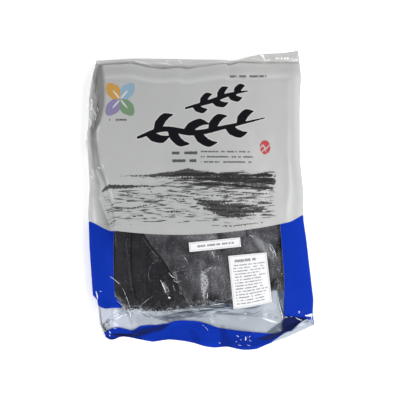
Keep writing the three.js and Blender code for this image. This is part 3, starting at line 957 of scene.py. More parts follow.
def brush_stroke(x, y, points, widths, parts=STROKE_PARTS):
    """How far inside a stroke through the points each place lies."""
    inside = np.full_like(x, OUTSIDE)
    for start, end, wide, next_wide in stroke_steps(points, widths, parts):
        gap, share = distance_to_line(x, y, start, end)
        inside = np.maximum(inside, mix(wide, next_wide, share) / 2 - gap)
    return inside


def brush_strokes(x, y, strokes):
    return np.maximum.reduce([brush_stroke(x, y, *stroke) for stroke in strokes])


def frond(x, y, stem, widths, blades, length, width):
    """A kelp frond: a brushed stem with blades that leave it on alternate sides."""
    path = smooth_path(stem)
    strokes = [(stem, widths)]
    for number in range(blades):
        share = (number + BLADE_FIRST) / (blades + BLADE_LAST)
        spot = int(share * (len(path) - 2))
        root = path[spot]
        ahead = path[spot + 1] - root
        heading = math.atan2(ahead[1], ahead[0])
        side = 1 if number % 2 else -1
        reach = length * (BLADE_REACH - BLADE_SHRINKS * abs(share - LONGEST_BLADE))
        points = [root]
        for step, lean in BLADE_STEPS:
            angle = heading + side * (lean * BLADE_LEAN)
            points.append(root + step * reach * np.array([math.cos(angle), math.sin(angle)]))
        strokes.append((points, [part * width for part in BLADE_WIDTHS]))
    return brush_strokes(x, y, strokes)


def bold_ink(x, y):
    """The large frond across the face and the smaller one above it."""
    return np.maximum.reduce([frond(x, y, *one) for one in FRONDS])


def grey_ink(x, y):
    """A far shore over open water, with a low rock in the shallows."""
    crest = SHORE_CREST + sum(tall * bell(x - across, wide) for across, wide, tall in HILLS)
    ends = np.minimum(x - SHORE_LEFT, SHORE_RIGHT - x) * SHORE_TAPER
    shore = np.minimum(np.minimum(crest - y, y - SHORE_FOOT), ends)
    rock = []
    for left, right, up, thick in LEDGES:
        points = ((left, up + 3), (mix(left, right, LEDGE_BEND), up - 1), (right, up))
        rock.append((points, [part * thick for part in LEDGE_WIDTHS]))
    water = map(points_and_widths, WATER_STROKES)
    return np.maximum(shore, brush_strokes(x, y, (*water, *rock)))


def leaf_shapes(x, y):
    """Four leaves that fan out, each with its vein: leaves and veins."""
    leaves, veins = [], []
    for turn in LEAF_TURNS:
        angle = math.radians(turn)
        heading = np.array([math.cos(angle), LEAF_STRETCH * math.sin(angle)])
        start, end = (np.array(LEAF_ROOT) + heading * reach for reach in LEAF_ENDS)
        middle = (start + end) / 2
        leaves.append(((start, middle, end), LEAF_WIDTHS))
        veins.append(((start, middle), VEIN_WIDTHS))
    return brush_strokes(x, y, leaves), brush_strokes(x, y, veins)


def seal_shape(x, y):
    """A round red blot with two waves left out of it."""
    middle_x, middle_y = BLOT_MIDDLE
    squeeze_x, squeeze_y = BLOT_SQUEEZE
    blot = BLOT_RADIUS - np.hypot((x - middle_x) * squeeze_x, (y - middle_y) * squeeze_y)
    return np.minimum(blot, -brush_strokes(x, y, BLOT_WAVES))


def white_marks(x, y):
    """The row of white marks and the white streak by the head seal."""
    marks = [size / 2 - np.hypot(x - across, y - MARKS_UP) for across, size in MARKS]
    return np.maximum.reduce([brush_stroke(x, y, *WHITE_STREAK), *marks])


def flap(x, y):
    """The corner that is turned over, which shows the silver inside."""
    return np.minimum(soft_line(x, FLAP_LINE, FLAP_BLUR) - y, x - FLAP_LEFT)


def blue_print(x, y):
    """The side stripes below the arc, the band along the foot and the folded corner."""
    left = np.minimum(fold_left(y) - x, y - stripe_foot(x))
    right = x - window_right(y)
    stripes = np.minimum(window_top(x) - y, np.maximum(left, right))
    return np.minimum(np.maximum(stripes, band_top(x) - y), -flap(x, y))


def water_wash(x, y):
    """How dense the brushed water is: from 0 outside it to 1 under the far shore."""
    across = smoothstep(x, *WASH_LEFT) * fall(x, *WASH_RIGHT)
    top = mix(*WASH_TOPS, smoothstep(x, *WASH_CLIMB))
    dense = mix(WASH_THIN, 1, smoothstep(y, *WASH_GROWS_UP) * smoothstep(x, *WASH_GROWS_ACROSS))
    return across * dense * smoothstep(y, *WASH_FOOT) * fall(y, top - 5, top + 2)


def soft_strokes(x, y, strokes, blur=STROKE_BLUR):
    """How strongly soft strokes cover each place."""
    cover = np.zeros_like(x)
    for strength, *row in strokes:
        inside = brush_stroke(x, y, *points_and_widths(row), LINE_PARTS)
        cover = np.maximum(cover, strength * smoothstep(inside, -blur, blur))
    return cover


def crisp_lines(x, y, lines):
    """For thin lines: the signed distance to the nearest one and its half width there."""
    gap = np.full_like(x, FAR)
    side = np.zeros_like(x)
    half = np.full_like(x, NO_LINE)
    for row in lines:
        for start, end, wide, next_wide in stroke_steps(*points_and_widths(row), LINE_PARTS):
            near, share = distance_to_line(x, y, start, end)
            length = np.hypot(*(end - start))
            heading = (end - start) / length
            ahead = (x - start[0]) * heading[0] + (y - start[1]) * heading[1]
            across = (y - start[1]) * heading[0] - (x - start[0]) * heading[1]
            beyond = np.abs(ahead - np.clip(ahead, 0, length))
            closer = near < gap
            gap = np.where(closer, near, gap)
            side = np.where(closer, across, side)
            half_here = mix(wide, next_wide, share) / 2 - beyond
            half = np.where(closer & (near < LINE_REACH), half_here, half)
    return side, half


# ---- Materials ----------------------------------------------------------------------------------
class Wire:
    """A socket of a material's graph, with arithmetic that adds its Math nodes."""

    def __init__(self, paint, socket):
        self.paint = paint
        self.socket = socket

    def __add__(self, other):
        return self.paint.math("ADD", self, other)

    def __sub__(self, other):
        return self.paint.math("SUBTRACT", self, other)

    def __rsub__(self, other):
        return self.paint.math("SUBTRACT", other, self)

    def __mul__(self, other):
        return self.paint.math("MULTIPLY", self, other)

    def __truediv__(self, other):
        return self.paint.math("DIVIDE", self, other)

    def __gt__(self, other):
        return self.paint.math("GREATER_THAN", self, other)

    def __lt__(self, other):
        return self.paint.math("LESS_THAN", self, other)

    __radd__ = __add__
    __rmul__ = __mul__


class Paint:
    """A material and the nodes that make it."""

    def __init__(self, name):
        self.material = bpy.data.materials.new(name)
        self.material.use_nodes = True
        self.tree = self.material.node_tree
        self.tree.nodes.clear()

    def node(self, kind, settings=None, values=None, output=0):
        """Adds a node: first its settings, then the values or links of its sockets."""
        node = self.tree.nodes.new("ShaderNode" + kind)
        for key, value in (settings or {}).items():
            if key == "stops":
                self.set_stops(node.color_ramp, value)
            else:
                setattr(node, key, value)
        for key, value in (values or {}).items():
            if isinstance(value, Wire):
                self.tree.links.new(value.socket, node.inputs[key])
            else:
                node.inputs[key].default_value = value
        return Wire(self, node.outputs[output]) if node.outputs else None

    @staticmethod
    def set_stops(ramp, stops):
        while len(ramp.elements) < len(stops):
            ramp.elements.new(1)
        for element, (position, colour) in zip(ramp.elements, stops):
            element.position = position
            element.color = (*colour, 1)

    def math(self, operation, *values):
        return self.node("Math", {"operation": operation}, dict(enumerate(values)))

    def clamp(self, value):
        return self.node("Clamp", None, {0: value})

    def edge(self, inside, softness):
        """1 inside a shape and 0 outside it, softened over that many millimetres."""
        return self.clamp(inside / softness + 0.5)

    def field(self, name):
        return self.node("Attribute", {"attribute_name": name}, None, "Fac")

    def crisp(self, name, softness=0.35):
        """1 on the thin lines stored under that name."""
        across = self.math("ABSOLUTE", self.field(name + "_side"))
        return self.edge(self.field(name + "_half") - across, softness)

    def noise(self, spot, scale, detail=2.0, distortion=0.0):
        """Cloudy noise from 0 to 1, with that many cells to each unit of the place."""
        values = {"Vector": spot, "Scale": scale, "Detail": detail, "Distortion": distortion}
        return self.node("TexNoise", None, values)

    def drawn_noise(self, spot, factors, detail, distortion=0.0, scale=1.0):
        """Noise that is drawn out by a factor along each axis."""
        return self.noise(self.stretch(spot, *factors), scale, detail, distortion)

    def stretch(self, spot, *factors):
        return self.node("VectorMath", {"operation": "MULTIPLY"}, {0: spot, 1: factors})

    def blend(self, share, low, high):
        """A colour between two, each a socket or three numbers."""
        low, high = (c if isinstance(c, Wire) else (*c[:3], 1) for c in (low, high))
        settings = {"data_type": "RGBA"}
        return self.node("Mix", settings, {0: share, 6: low, 7: high}, 2)

    def darken(self, colour, share, tint):
        """A colour multiplied by the tint, as far as share says."""
        factor = self.blend(share, (1.0, 1.0, 1.0), tint)
        return self.node("VectorMath", {"operation": "MULTIPLY"}, {0: colour, 1: factor})

    def print_over(self, colour, tint, name, softness=0.5, strength=1.0):
        """The colour with a tint printed over it, inside the shape stored under that name."""
        return self.blend(self.edge(self.field(name), softness) * strength, colour, tint)

    def bump(self, height, distance):
        return self.node("Bump", None, {"Height": height, "Distance": distance})

    def object_spot(self):
        return self.node("TexCoord", None, None, "Object")

    def uv_spot(self, span_x, span_y):
        """The place on the piece's UV map in millimetres, from its middle."""
        uv = self.node("TexCoord", None, None, "UV")
        middle = self.node("VectorMath", {"operation": "SUBTRACT"}, {0: uv, 1: (0.5, 0.5, 0)})
        return self.stretch(middle, span_x, span_y, 1)

    def split(self, spot):
        """The x and y of a place."""
        parts = self.node("SeparateXYZ", None, {0: spot}, 0)
        return parts, Wire(self, parts.socket.node.outputs[1])

    def surface(self, **values):
        """The finished surface: its sockets by name, with underscores for spaces."""
        sockets = {}
        for key, value in values.items():
            flat_colour = isinstance(value, tuple)
            sockets[key.replace("_", " ")] = (*value, 1) if flat_colour else value
        shader = self.node("BsdfPrincipled", None, sockets)
        self.node("OutputMaterial", None, {"Surface": shader})
        return self.material


# Small print: its box (left, right, bottom, top), rows, thickness, seed, words and strength.
SMALL_PRINT = (
    ((42, 104, 168, 180), 1, 0.45, 3.1, 0.14, 1.0),
    ((1, 76, 45, 67), 3, 0.4, 1.7, 0.24, 1.0),
    ((-39, -2, 45, 67), 2, 0.45, 5.2, 0.1, 1.5),
    ((-127, -100, 106, 113), 1, 0.5, 8.3, 0.24, 1.0),
)
RAGGED = 0.2  # share of the box by which a row may stop short
KELP_BUMP = 0.0012
PAPER_BUMP = 0.00004
SILVER_METAL = 0.28


def rows_of_print(paint, spot, box, rows, thickness, seed, words):
    """Rows of dashes, as long as words, where small print would be: 1 on a dash. The box is left,
    right, bottom and top in millimetres."""
    left, right, bottom, top = box
    x, y = paint.split(spot)
    row = (y - bottom) / ((top - bottom) / rows)
    number = paint.math("FLOOR", row)
    off_middle = paint.math("ABSOLUTE", row - number - 0.5)
    ragged = paint.math("FRACT", paint.math("SINE", number * 12.99 + seed) * 43.7)
    stop = right - ragged * (right - left) * RAGGED
    inside = (x > left) * (x < stop) * (y > bottom) * (y < top)
    word = paint.node("CombineXYZ", None, {0: x * words, 1: number * 7.7 + seed, 2: 0.0})
    stroke = paint.node("CombineXYZ", None, {0: x * 1.3, 1: y * 0.9, 2: seed})
    gaps = paint.clamp((paint.noise(word, 1.0, 0.0) - 0.36) * 9.0)
    uneven = paint.noise(stroke, 1.0, 1.0)
    bar = paint.clamp((thickness / 2 * (0.55 + uneven * 0.9) - off_middle) * 9.0)
    return bar * gaps * inside * (0.45 + uneven * 0.9)


def silver_print(paint, spot, mottle, colours):
    """Silver, with painted light towards the right and on the head seal, and painted shade in the
    head's left corner and on its slope.
    """
    x, y = paint.split(spot)
    sealed = paint.field("sealed")
    colour = paint.blend(mottle, colours.silver_shade, colours.silver)
    colour = paint.blend(paint.noise(spot, 1.6, 2.0) * 0.12, colour, colours.pale_silver_and_painted_light)
    # Painted light: the silver is lightened towards the right, as if lit from that side.
    painted_light_right = paint.clamp((x - 10) / 80) * paint.clamp((135 - x) / 30)
    colour = paint.blend(painted_light_right * 0.24, colour, colours.pale_silver_and_painted_light)
    # Painted shade: the head's left corner and the slope below the seal are darkened.
    corner = paint.clamp((x + 20) / -100) * paint.clamp((y - 110) / 70)
    slope = paint.clamp(1 - paint.math("ABSOLUTE", sealed + 17) / 15)
    colour = paint.darken(colour, corner * 0.11 + slope * 0.12, colours.fold_shade)
    # Painted light: the strip of the head seal is lightened.
    return paint.blend(paint.edge(sealed, 2.0) * 0.45, colour, colours.pale_silver_and_painted_light)


def brushed_water(paint, spot, colour, colours):
    """Thinned ink in ripples that are drawn out sideways, and the dry strokes over it."""
    wash = paint.field("wash")
    streaks = paint.drawn_noise(spot, (0.045, 0.42, 1), 6.0, 0.9)
    far_streaks = paint.drawn_noise(spot, (0.014, 0.16, 1), 4.0, 0.4)
    ripples = paint.clamp((streaks - 0.62 + wash * 0.24) * 18.0) * paint.clamp(wash * 6.0)
    mist = paint.clamp((far_streaks - 0.46) * 4.0) * wash
    colour = paint.blend(mist * 0.5, colour, colours.wash)
    colour = paint.blend(ripples * 0.85, colour, colours.grey_ink)
    dry = paint.drawn_noise(spot, (0.5, 0.16, 1), 4.0)
    flecks = paint.drawn_noise(spot, (0.35, 0.9, 1), 5.0, 0.4)
    drawn = paint.math("MINIMUM", paint.field("grey_ink"), 1.1)
    grey = paint.edge(drawn + (dry - 0.5) * 3.6 + (flecks - 0.5) * 4.4, 0.6)
    return paint.blend(grey * 0.9, colour, colours.grey_ink)


def leaf_colour(paint, spot, colours):
    """The colour of each leaf, by its direction round the root."""
    x, y = paint.split(spot)
    turn = paint.math("ARCTAN2", y - LEAF_ROOT[1], x - LEAF_ROOT[0])
    tints = (colours.leaf_purple, colours.leaf_green, colours.leaf_blue, colours.leaf_orange)
    stops = [(number / len(tints), tint) for number, tint in enumerate(tints)]
    leaf = paint.node("ValToRGB", {"stops": stops}, {0: turn / (2 * math.pi) + 0.5})
    leaf.socket.node.color_ramp.interpolation = "CONSTANT"
    return leaf


def small_print(paint, spot):
    """How much grey ink the rows of small print put at each place."""
    ink = 0
    for box, rows, thickness, seed, words, strength in SMALL_PRINT:
        ink = rows_of_print(paint, spot, box, rows, thickness, seed, words) * strength + ink
    return paint.clamp(ink)


def printed_film(colours, sizes):
    """Glossy film with its print in fields of colour."""
    paint = Paint("printed_film")
    spot = paint.uv_spot(UV_SPAN, UV_SPAN)
    mottle = paint.noise(spot, 0.012, 3.0)
    colour = silver_print(paint, spot, mottle, colours)
    colour = brushed_water(paint, spot, colour, colours)

    # Bold strokes with a pale rim, dry where the brush lifts.
    bold = paint.field("bold_ink")
    bristles = paint.drawn_noise(spot, (0.10, 0.9, 1), 3.0)
    colour = paint.blend(paint.edge(bold + 1.3, 0.9) * 0.5, colour, colours.pale_silver_and_painted_light)
    black = paint.edge(bold + (bristles - 0.5) * 0.9, 0.35)
    colour = paint.blend(black, colour, colours.ink)

    colour = paint.print_over(colour, leaf_colour(paint, spot, colours), "leaves", 0.6, 0.92)
    colour = paint.print_over(colour, colours.pale_silver_and_painted_light, "veins", 0.5, 0.8)
    colour = paint.blend(small_print(paint, spot) * 0.85, colour, colours.grey_ink)
    chalk = paint.noise(spot, 0.8, 3.0)
    red = paint.edge(paint.field("seal") + (chalk - 0.5) * 1.6, 0.5)
    colour = paint.blend(red * 0.9, colour, colours.seal_red)

    blue = paint.edge(paint.field("blue"), 0.5)
    deep = paint.blend(paint.noise(spot, 0.02, 2.0), colours.blue_shade, colours.blue)
    colour = paint.blend(blue, colour, deep)
    colour = paint.print_over(colour, colours.flap, "flap")
    colour = paint.print_over(colour, (1.0, 1.0, 1.0), "marks")

    # Painted light and shade of the film's folds and bends: pale light, fold shade, navy shade,
    # dark fold lines and glints.
    shade = paint.field("shade")
    colour = paint.blend(paint.field("pale") * (1 - blue), colour, colours.pale)
    colour = paint.darken(colour, shade, colours.fold_shade)
    colour = paint.blend(paint.clamp(shade * 1.6 - 0.62) * blue, colour, colours.navy_fold_shade)
    breaks = paint.noise(spot, 0.45, 3.0)
    # Painted shadow: dark lines along folds.
    crack = paint.crisp("crack", 0.6) * paint.clamp(0.35 + breaks)
    colour = paint.darken(colour, crack * 0.75, colours.fold_shade)
    # Painted highlights: glint lines.
    glint = paint.crisp("glint") * paint.clamp((breaks - 0.30) * 6.0)
    colour = paint.blend(glint * 0.9, colour, colours.glint)
    height = paint.noise(spot, 0.16, 3.0, 0.3) * 0.8 + paint.noise(spot, 0.7, 2.0) * 0.12
    coat = 0.008 + paint.field("gloss") * 0.05 + (1 - blue) * 0.2
    return paint.surface(
        Base_Color=colour,
        Metallic=(1 - blue) * (1 - black) * (1 - glint) * SILVER_METAL,
        Roughness=0.40 - blue * 0.06 + mottle * 0.08,
        Normal=paint.bump(height, sizes.crinkle * 0.35),
        Coat_Weight=coat * (1 - shade * 0.7),
        Coat_Roughness=0.06,
        Specular_IOR_Level=0.0,
    )


def clear_film(colours, sizes):
    """Thin clear film: mostly see-through, with the gloss of plastic, calm over the lining, and
    with painted sheens, painted glints and painted dark fold lines.
    """
    paint = Paint("clear_film")
    spot = paint.uv_spot(UV_SPAN, UV_SPAN)
    _, y = paint.split(spot)
    specks = paint.noise(spot, 0.5, 4.0, 0.5)
    # Painted sheen, speckled and smooth.
    haze = paint.clamp(paint.field("haze") * (0.06 + paint.clamp((specks - 0.42) * 6.0) * 1.2))
    haze = paint.clamp(haze + paint.field("sheen") * 0.7)
    breaks = paint.noise(spot, 0.45, 3.0)
    wide = paint.clamp(paint.field("glint_half") * 0.9)
    glint = paint.crisp("glint") * paint.clamp((breaks - 0.34) * 6.0 + wide)
    crack = paint.crisp("crack", 0.7) * 0.6
    # Painted sheen and glints whiten the film and make it less clear; painted shadow lines darken
    # it.
    dull = paint.clamp(haze * 0.9 + glint)
    colour = paint.blend(dull, (0.0, 0.0, 0.0), colours.clear)
    colour = paint.blend(glint, colour, colours.glint)
    marked = paint.clamp(dull + crack * 2.0)
    calm = paint.clamp(paint.field("shade") + (-124 - y) / 14)
    crinkle = paint.noise(spot, 0.11, 4.0, 0.8) + paint.noise(spot, 0.55, 3.0, 0.4) * 0.2
    return paint.surface(
        Base_Color=paint.blend(marked, colours.clear, colour),
        Alpha=paint.clamp(0.04 + haze * 0.62 + glint * 0.9 + crack),
        Metallic=1 - marked,
        Roughness=0.10 + marked * 0.5 + calm * 0.12,
        Specular_IOR_Level=0.25,
        Normal=paint.bump(crinkle * (1 - calm * 0.7), sizes.crinkle * 0.5),
    )


def silver_lining(colours, sizes):
    """The bare silver inside of the back film, crushed into creases, with painted pale light,
    painted shade in its folds and painted shade and highlights in crushed streaks.
    """
    paint = Paint("silver_lining")
    spot = paint.object_spot()
    crease = paint.drawn_noise(spot, (0.5, 1.0, 1.0), 3.0, 0.8, 110)
    torn = paint.drawn_noise(spot, (0.24, 1.0, 1.0), 4.0, 0.8, 300)
    crushed = paint.field("crushed")
    colour = paint.blend(paint.noise(spot, 30, 3.0), colours.lining_shade, colours.lining)
    # Painted light and painted shade of the lining's folds.
    colour = paint.blend(paint.field("pale"), colour, colours.pale)
    colour = paint.darken(colour, paint.field("shade"), colours.lining_fold_shade)
    # Painted shade and painted highlights in streaks over the crushed folds.
    dark, bright = paint.clamp((torn - 0.42) * 7.0), paint.clamp((0.40 - torn) * 8.0)
    colour = paint.darken(colour, dark * crushed, colours.lining_fold_shade)
    colour = paint.blend(bright * crushed * 0.5, colour, colours.glint)
    return paint.surface(
        Base_Color=colour,
        Metallic=0.08,
        Roughness=0.5,
        Specular_IOR_Level=0.2,
        Normal=paint.bump(crease, sizes.crinkle * 0.4),
    )


def dried_kelp(name, colours, bloom):
    """Leathery kelp, near black, with long streaks, a grey bloom that also stands in for a painted
    sheen of the film above, and a dusting of salt.
    """
    paint = Paint(name)
    spot = paint.object_spot()
    dust_and_sheen = (1 - paint.field("dull")) * bloom
    streaks = paint.drawn_noise(spot, (1.0, 0.22, 1.0), 5.0, 0.5, 190)
    patches = paint.noise(spot, 30, 4.0, 0.6)
    grain = paint.noise(spot, 520, 4.0)
    salt = paint.clamp((paint.noise(spot, 420, 2.0) - 0.62) * 9.0)
    bloom_and_sheen_here = paint.clamp((patches - 0.31) * 2.8) * paint.clamp((grain - 0.2) * 2.4)
    colour = paint.blend(streaks, colours.kelp_dark, colours.kelp)
    colour = paint.blend(bloom_and_sheen_here * dust_and_sheen * 0.85, colour, colours.kelp_bloom_and_sheen)
    colour = paint.blend(salt * 0.42 * (0.25 + dust_and_sheen * 0.75), colour, colours.kelp_salt)
    return paint.surface(
        Base_Color=colour,
        Roughness=0.55 - streaks * 0.2,
        Specular_IOR_Level=0.16,
        Normal=paint.bump(streaks * 0.7 + grain * 0.3, KELP_BUMP),
    )


def info_print(paint, spot, width, height):
    """A heading and fourteen rows of dashes, clear of the sticker's border."""
    left, right, bottom, top = -width / 2 + 5, width / 2 - 5, -height / 2 + 4, height / 2 - 4
    body = rows_of_print(paint, spot, (left, right + 2, bottom, top - 8), 14, 0.5, 2.0, 0.42)
    head = rows_of_print(paint, spot, (left + 3, right - 3, top - 7, top - 1), 1, 0.7, 6.6, 0.3)
    return body + head


def date_print(paint, spot, width, _):
    """One row of dashes along the middle of the sticker."""
    box = (-width / 2 + 11, width / 2 + 2, -2.6, 2.6)
    return rows_of_print(paint, spot, box, 1, 0.65, 4.0, 0.3)


def sticker_paper(name, colours, size, print_rows):
    """White label paper with a thin double border and pale bars for its print."""
    paint = Paint(name)
    spot = paint.uv_spot(*size)
    past_rim = [
        paint.math("ABSOLUTE", place) - span / 2 for place, span in zip(paint.split(spot), size)
    ]
    rim = paint.math("MAXIMUM", *past_rim)
    border = (rim > -2.2) * (rim < -1.5) + (rim > -0.35)
    fibre = paint.noise(spot, 0.6, 3.0)
    colour = paint.blend(fibre * 0.4, colours.paper, colours.paper_shade)
    colour = paint.blend(paint.clamp(border) * 0.45, colour, colours.label_ink)
    ink = paint.clamp(print_rows(paint, spot, *size))
    colour = paint.blend(ink * 0.85, colour, colours.label_ink)
    return paint.surface(
        Base_Color=colour,
        Roughness=0.55,
        Normal=paint.bump(fibre, PAPER_BUMP),
    )


def back_silver(colours, sizes):
    """The plain silver back of the bag."""
    paint = Paint("back_film")
    spot = paint.object_spot()
    return paint.surface(
        Base_Color=paint.blend(paint.noise(spot, 12, 3.0), colours.silver_shade, colours.silver),
        Metallic=SILVER_METAL,
        Roughness=0.42,
        Normal=paint.bump(paint.noise(spot, 120, 4.0, 0.6), sizes.crinkle),
        Coat_Weight=0.35,
        Coat_Roughness=0.12,
    )


# ---- Settings -----------------------------------------------------------------------------------
def colour_property(name, description, default):
    return bpy.props.FloatVectorProperty(
        name=name, description=description, default=default, size=3, min=0, max=1, subtype="COLOR"
    )


def length_property(name, description, default):
    return bpy.props.FloatProperty(
        name=name, description=description, default=default, min=0, unit="LENGTH", precision=4
    )


def power_property(name, description, default):
    return bpy.props.FloatProperty(
        name=name, description=description, default=default, min=0, unit="POWER"
    )


class KelpPackSizes(bpy.types.PropertyGroup):
    """Sizes that a user would change."""

    crinkle: length_property("Crinkle", "Depth of the film's finest crinkles", 0.0008)
    crumple: length_property("Crumple", "Depth of the sharp crumples", 0.0030)
    face_dent: length_property("Face dents", "Depth of the soft dents of the printed face", 0.0007)
    kelp_thickness: length_property("Kelp thickness", "Thickness of one kelp sheet", 0.0009)
    sticker_thickness: length_property("Sticker thickness", "Thickness of a label", 0.00025)


class KelpPackColours(bpy.types.PropertyGroup):
    """Colours of the film, its print, the kelp and the stickers, and the tints of painted light and
    shade.
    """

    silver: colour_property("Silver", "Printed silver of the face", (0.475, 0.483, 0.478))
    silver_shade: colour_property("Silver shade", "Darker silver", (0.445, 0.453, 0.448))
    # Pale silver for the ink's rim and veins, also used for the painted light on the silver and the
    # head seal.
    pale_silver_and_painted_light: colour_property("Silver light", "Pale rim of the ink", (0.69, 0.69, 0.67))
    blue: colour_property("Blue", "Deep blue print", (0.0062, 0.036, 0.395))
    blue_shade: colour_property("Blue shade", "Darker blue print", (0.0055, 0.028, 0.325))
    flap: colour_property("Flap", "Silver inside of the turned corner", (0.40, 0.45, 0.52))
    ink: colour_property("Ink", "Black of the bold strokes", (0.008, 0.008, 0.010))
    grey_ink: colour_property("Grey ink", "Ink of the shore and small print", (0.024, 0.024, 0.026))
    wash: colour_property("Wash", "Thinned ink", (0.30, 0.31, 0.32))
    leaf_orange: colour_property("Leaf orange", "Upper left leaf", (0.55, 0.29, 0.05))
    leaf_blue: colour_property("Leaf blue", "Upper right leaf", (0.25, 0.38, 0.50))
    leaf_purple: colour_property("Leaf purple", "Lower left leaf", (0.23, 0.20, 0.37))
    leaf_green: colour_property("Leaf green", "Lower right leaf", (0.15, 0.26, 0.14))
    seal_red: colour_property("Seal red", "Red blot", (0.50, 0.03, 0.035))
    # Painted shade: the tint that painted fold shade, dark fold lines and the darker head corner
    # and slope multiply by.
    fold_shade: colour_property("Fold shade", "What deep folds keep", (0.165, 0.168, 0.16))
    # Painted shade: blue print darkened to navy where it lies deep in a fold.
    navy_fold_shade: colour_property("Navy", "Blue print deep in a fold", (0.015, 0.021, 0.082))
    # Painted shade: the tint that the lining's painted fold shade and crushed streaks multiply by.
    lining_fold_shade: colour_property("Lining fold", "What the lining's folds keep", (0.08, 0.14, 0.215))
    pale: colour_property("Pale film", "Film that lies open to the light", (0.56, 0.60, 0.71))
    clear: colour_property("Clear film", "Gloss of the clear film", (0.62, 0.63, 0.66))
    # Painted highlight: the colour of the glints painted on sharply bent film.
    glint: colour_property("Glint", "Sharply bent film", (0.86, 0.89, 0.91))
    lining: colour_property("Lining", "Silver inside of the back film", (0.43, 0.465, 0.515))
    lining_shade: colour_property("Lining shade", "Darker silver inside", (0.34, 0.375, 0.42))
    kelp: colour_property("Kelp", "Kelp", (0.017, 0.0168, 0.022))
    kelp_dark: colour_property("Kelp dark", "Darkest kelp", (0.004, 0.004, 0.005))
    # Grey bloom on the kelp, which also serves as painted sheen of the film above it.
    kelp_bloom_and_sheen: colour_property("Kelp bloom", "Grey bloom on kelp", (0.29, 0.291, 0.315))
    kelp_salt: colour_property("Kelp salt", "Specks of salt", (0.42, 0.43, 0.45))
    paper: colour_property("Label paper", "Label paper", (0.80, 0.80, 0.81))
    paper_shade: colour_property("Label shade", "Shaded label paper", (0.73, 0.73, 0.75))
    label_ink: colour_property("Label ink", "Grey label print", (0.12, 0.12, 0.125))


class KelpPackStudio(bpy.types.PropertyGroup):
    """The studio's camera and lights."""

    elevation: bpy.props.FloatProperty(
        name="Elevation",
        description="Camera above the floor",
        default=math.radians(80),
        subtype="ANGLE",
    )
    distance: length_property("Distance", "Camera to the pack", 1.0)
    lens: bpy.props.FloatProperty(
        name="Lens", description="Focal length on a 36 mm sensor", default=64.3, unit="CAMERA"
    )
    key: power_property("Key", "Power of the key light", 66)
    fill: power_property("Fill", "Power of the left light", 43)
    head: power_property("Head", "Power of the light at the head", 14)
    panel: power_property("Panel", "Power of the high panel", 8)
    spark: power_property("Spark", "Power of the small lights that the film glints with", 0.9)


# ---- Pieces -------------------------------------------------------------------------------------
RIM_EASING = 3  # cells
EDGE_EASING = 6
BACK_EASING = 4  # cells
BACK_LIFT, BACK_WAVES = 0.25, 0.35
FIN_BLUR, CRIMP_HEIGHT = 1.5, 0.12
CRIMP_TURN = 2.1  # radians for each millimetre
LINING_OVERLAP, LINING_UP, LINING_INSET = 4, 22, 3
LINING_DEPTH = 1.6  # below the film, and deeper by LINING_SINKS under the kelp
LINING_SINKS, LINING_SLOPE = 9, 14
# How strongly the film is crumpled over the kelp, at the foot and at the head.
CRUMPLE_KELP, CRUMPLE_FOOT, CRUMPLE_HEAD = 0.04, 0.05, 0.16
# Where the film is crumpled more: the middle, the reach each way, and how strongly.
CRUMPLED = (
    (-155, 130, 12, 30, 0.9),
    (-128, -178, 10, 10, 0.5),
    (140, -158, 14, 9, 0.45),
    (60, -193, 16, 9, 0.6),
    (-148, 45, 9, 10, 0.4),
    (-146, -130, 8, 12, 0.35),
)


def crumpled_share(x, y):
    """How strongly the film is crumpled at each place, from 0 to 1."""
    strength = np.zeros_like(x)
    for across, up, wide, high, share in CRUMPLED:
        strength = np.maximum(strength, share * bell(x - across, wide) * bell(y - up, high))
    return strength


def film_relief(x, y, sizes):
    """What the front film has beyond its main form, in millimetres: creases, crumples and dents."""
    over_kelp = (
        smoothstep(y, kelp_end(x) - 4, kelp_end(x) + 10)
        * smoothstep(window_top(x) - y, -EDGE_EASING, EDGE_EASING)
        * smoothstep(x, WINDOW_LEFT - EDGE_EASING, WINDOW_LEFT + EDGE_EASING)
        * fall(x, WINDOW_RIGHT - EDGE_EASING, WINDOW_RIGHT + EDGE_EASING)
    )
    at_foot = fall(y, foot_top(x) - 12, foot_top(x) + 6)
    at_head = smoothstep(y, seal_line(x) - 3, seal_line(x) + 3)
    inside = smoothstep(x - left_edge(y), 0, EDGE_EASING)
    inside = inside * smoothstep(right_edge(y) - x, 0, EDGE_EASING)
    inside = inside * smoothstep(y - foot_edge(x), 0, 5)

    warp = 5 * ripple(x, y, 26, 3.3)
    large = cell_borders(x + warp, y - warp, 17, 1.7)
    small = cell_borders(x - warp, (y + warp) * 1.2, 7, 5.1)
    crumple = 0.6 - np.minimum(large, 0.6) + (0.5 - np.minimum(small, 0.5)) * 0.9
    flow = ripple(x * 0.3, y + 3 * ripple(x, y, 30, 6.1), 6, 7.4)
    dents = ripple(x * 0.7, y * 0.4, 30, 9.2) + 0.5 * ripple(x, y * 0.6, 13, 4.4)
    waves = ripple(x, y * 0.8, 16, 8.8) + 0.5 * ripple(x, y, 7, 2.9)

    spread = CRUMPLE_KELP * over_kelp + CRUMPLE_FOOT * at_foot + CRUMPLE_HEAD * at_head
    relief = crumple * np.maximum(crumpled_share(x, y), spread) * sizes.crumple / MM
    soft = dents * (1 - at_foot) + 0.35 * flow * at_foot + 0.35 * waves * over_kelp
    relief = relief + soft * sizes.face_dent / MM
    return (relief + creases(x, y, FILM_CREASES) + creases(x, y, HEAD_CREASES)) * inside


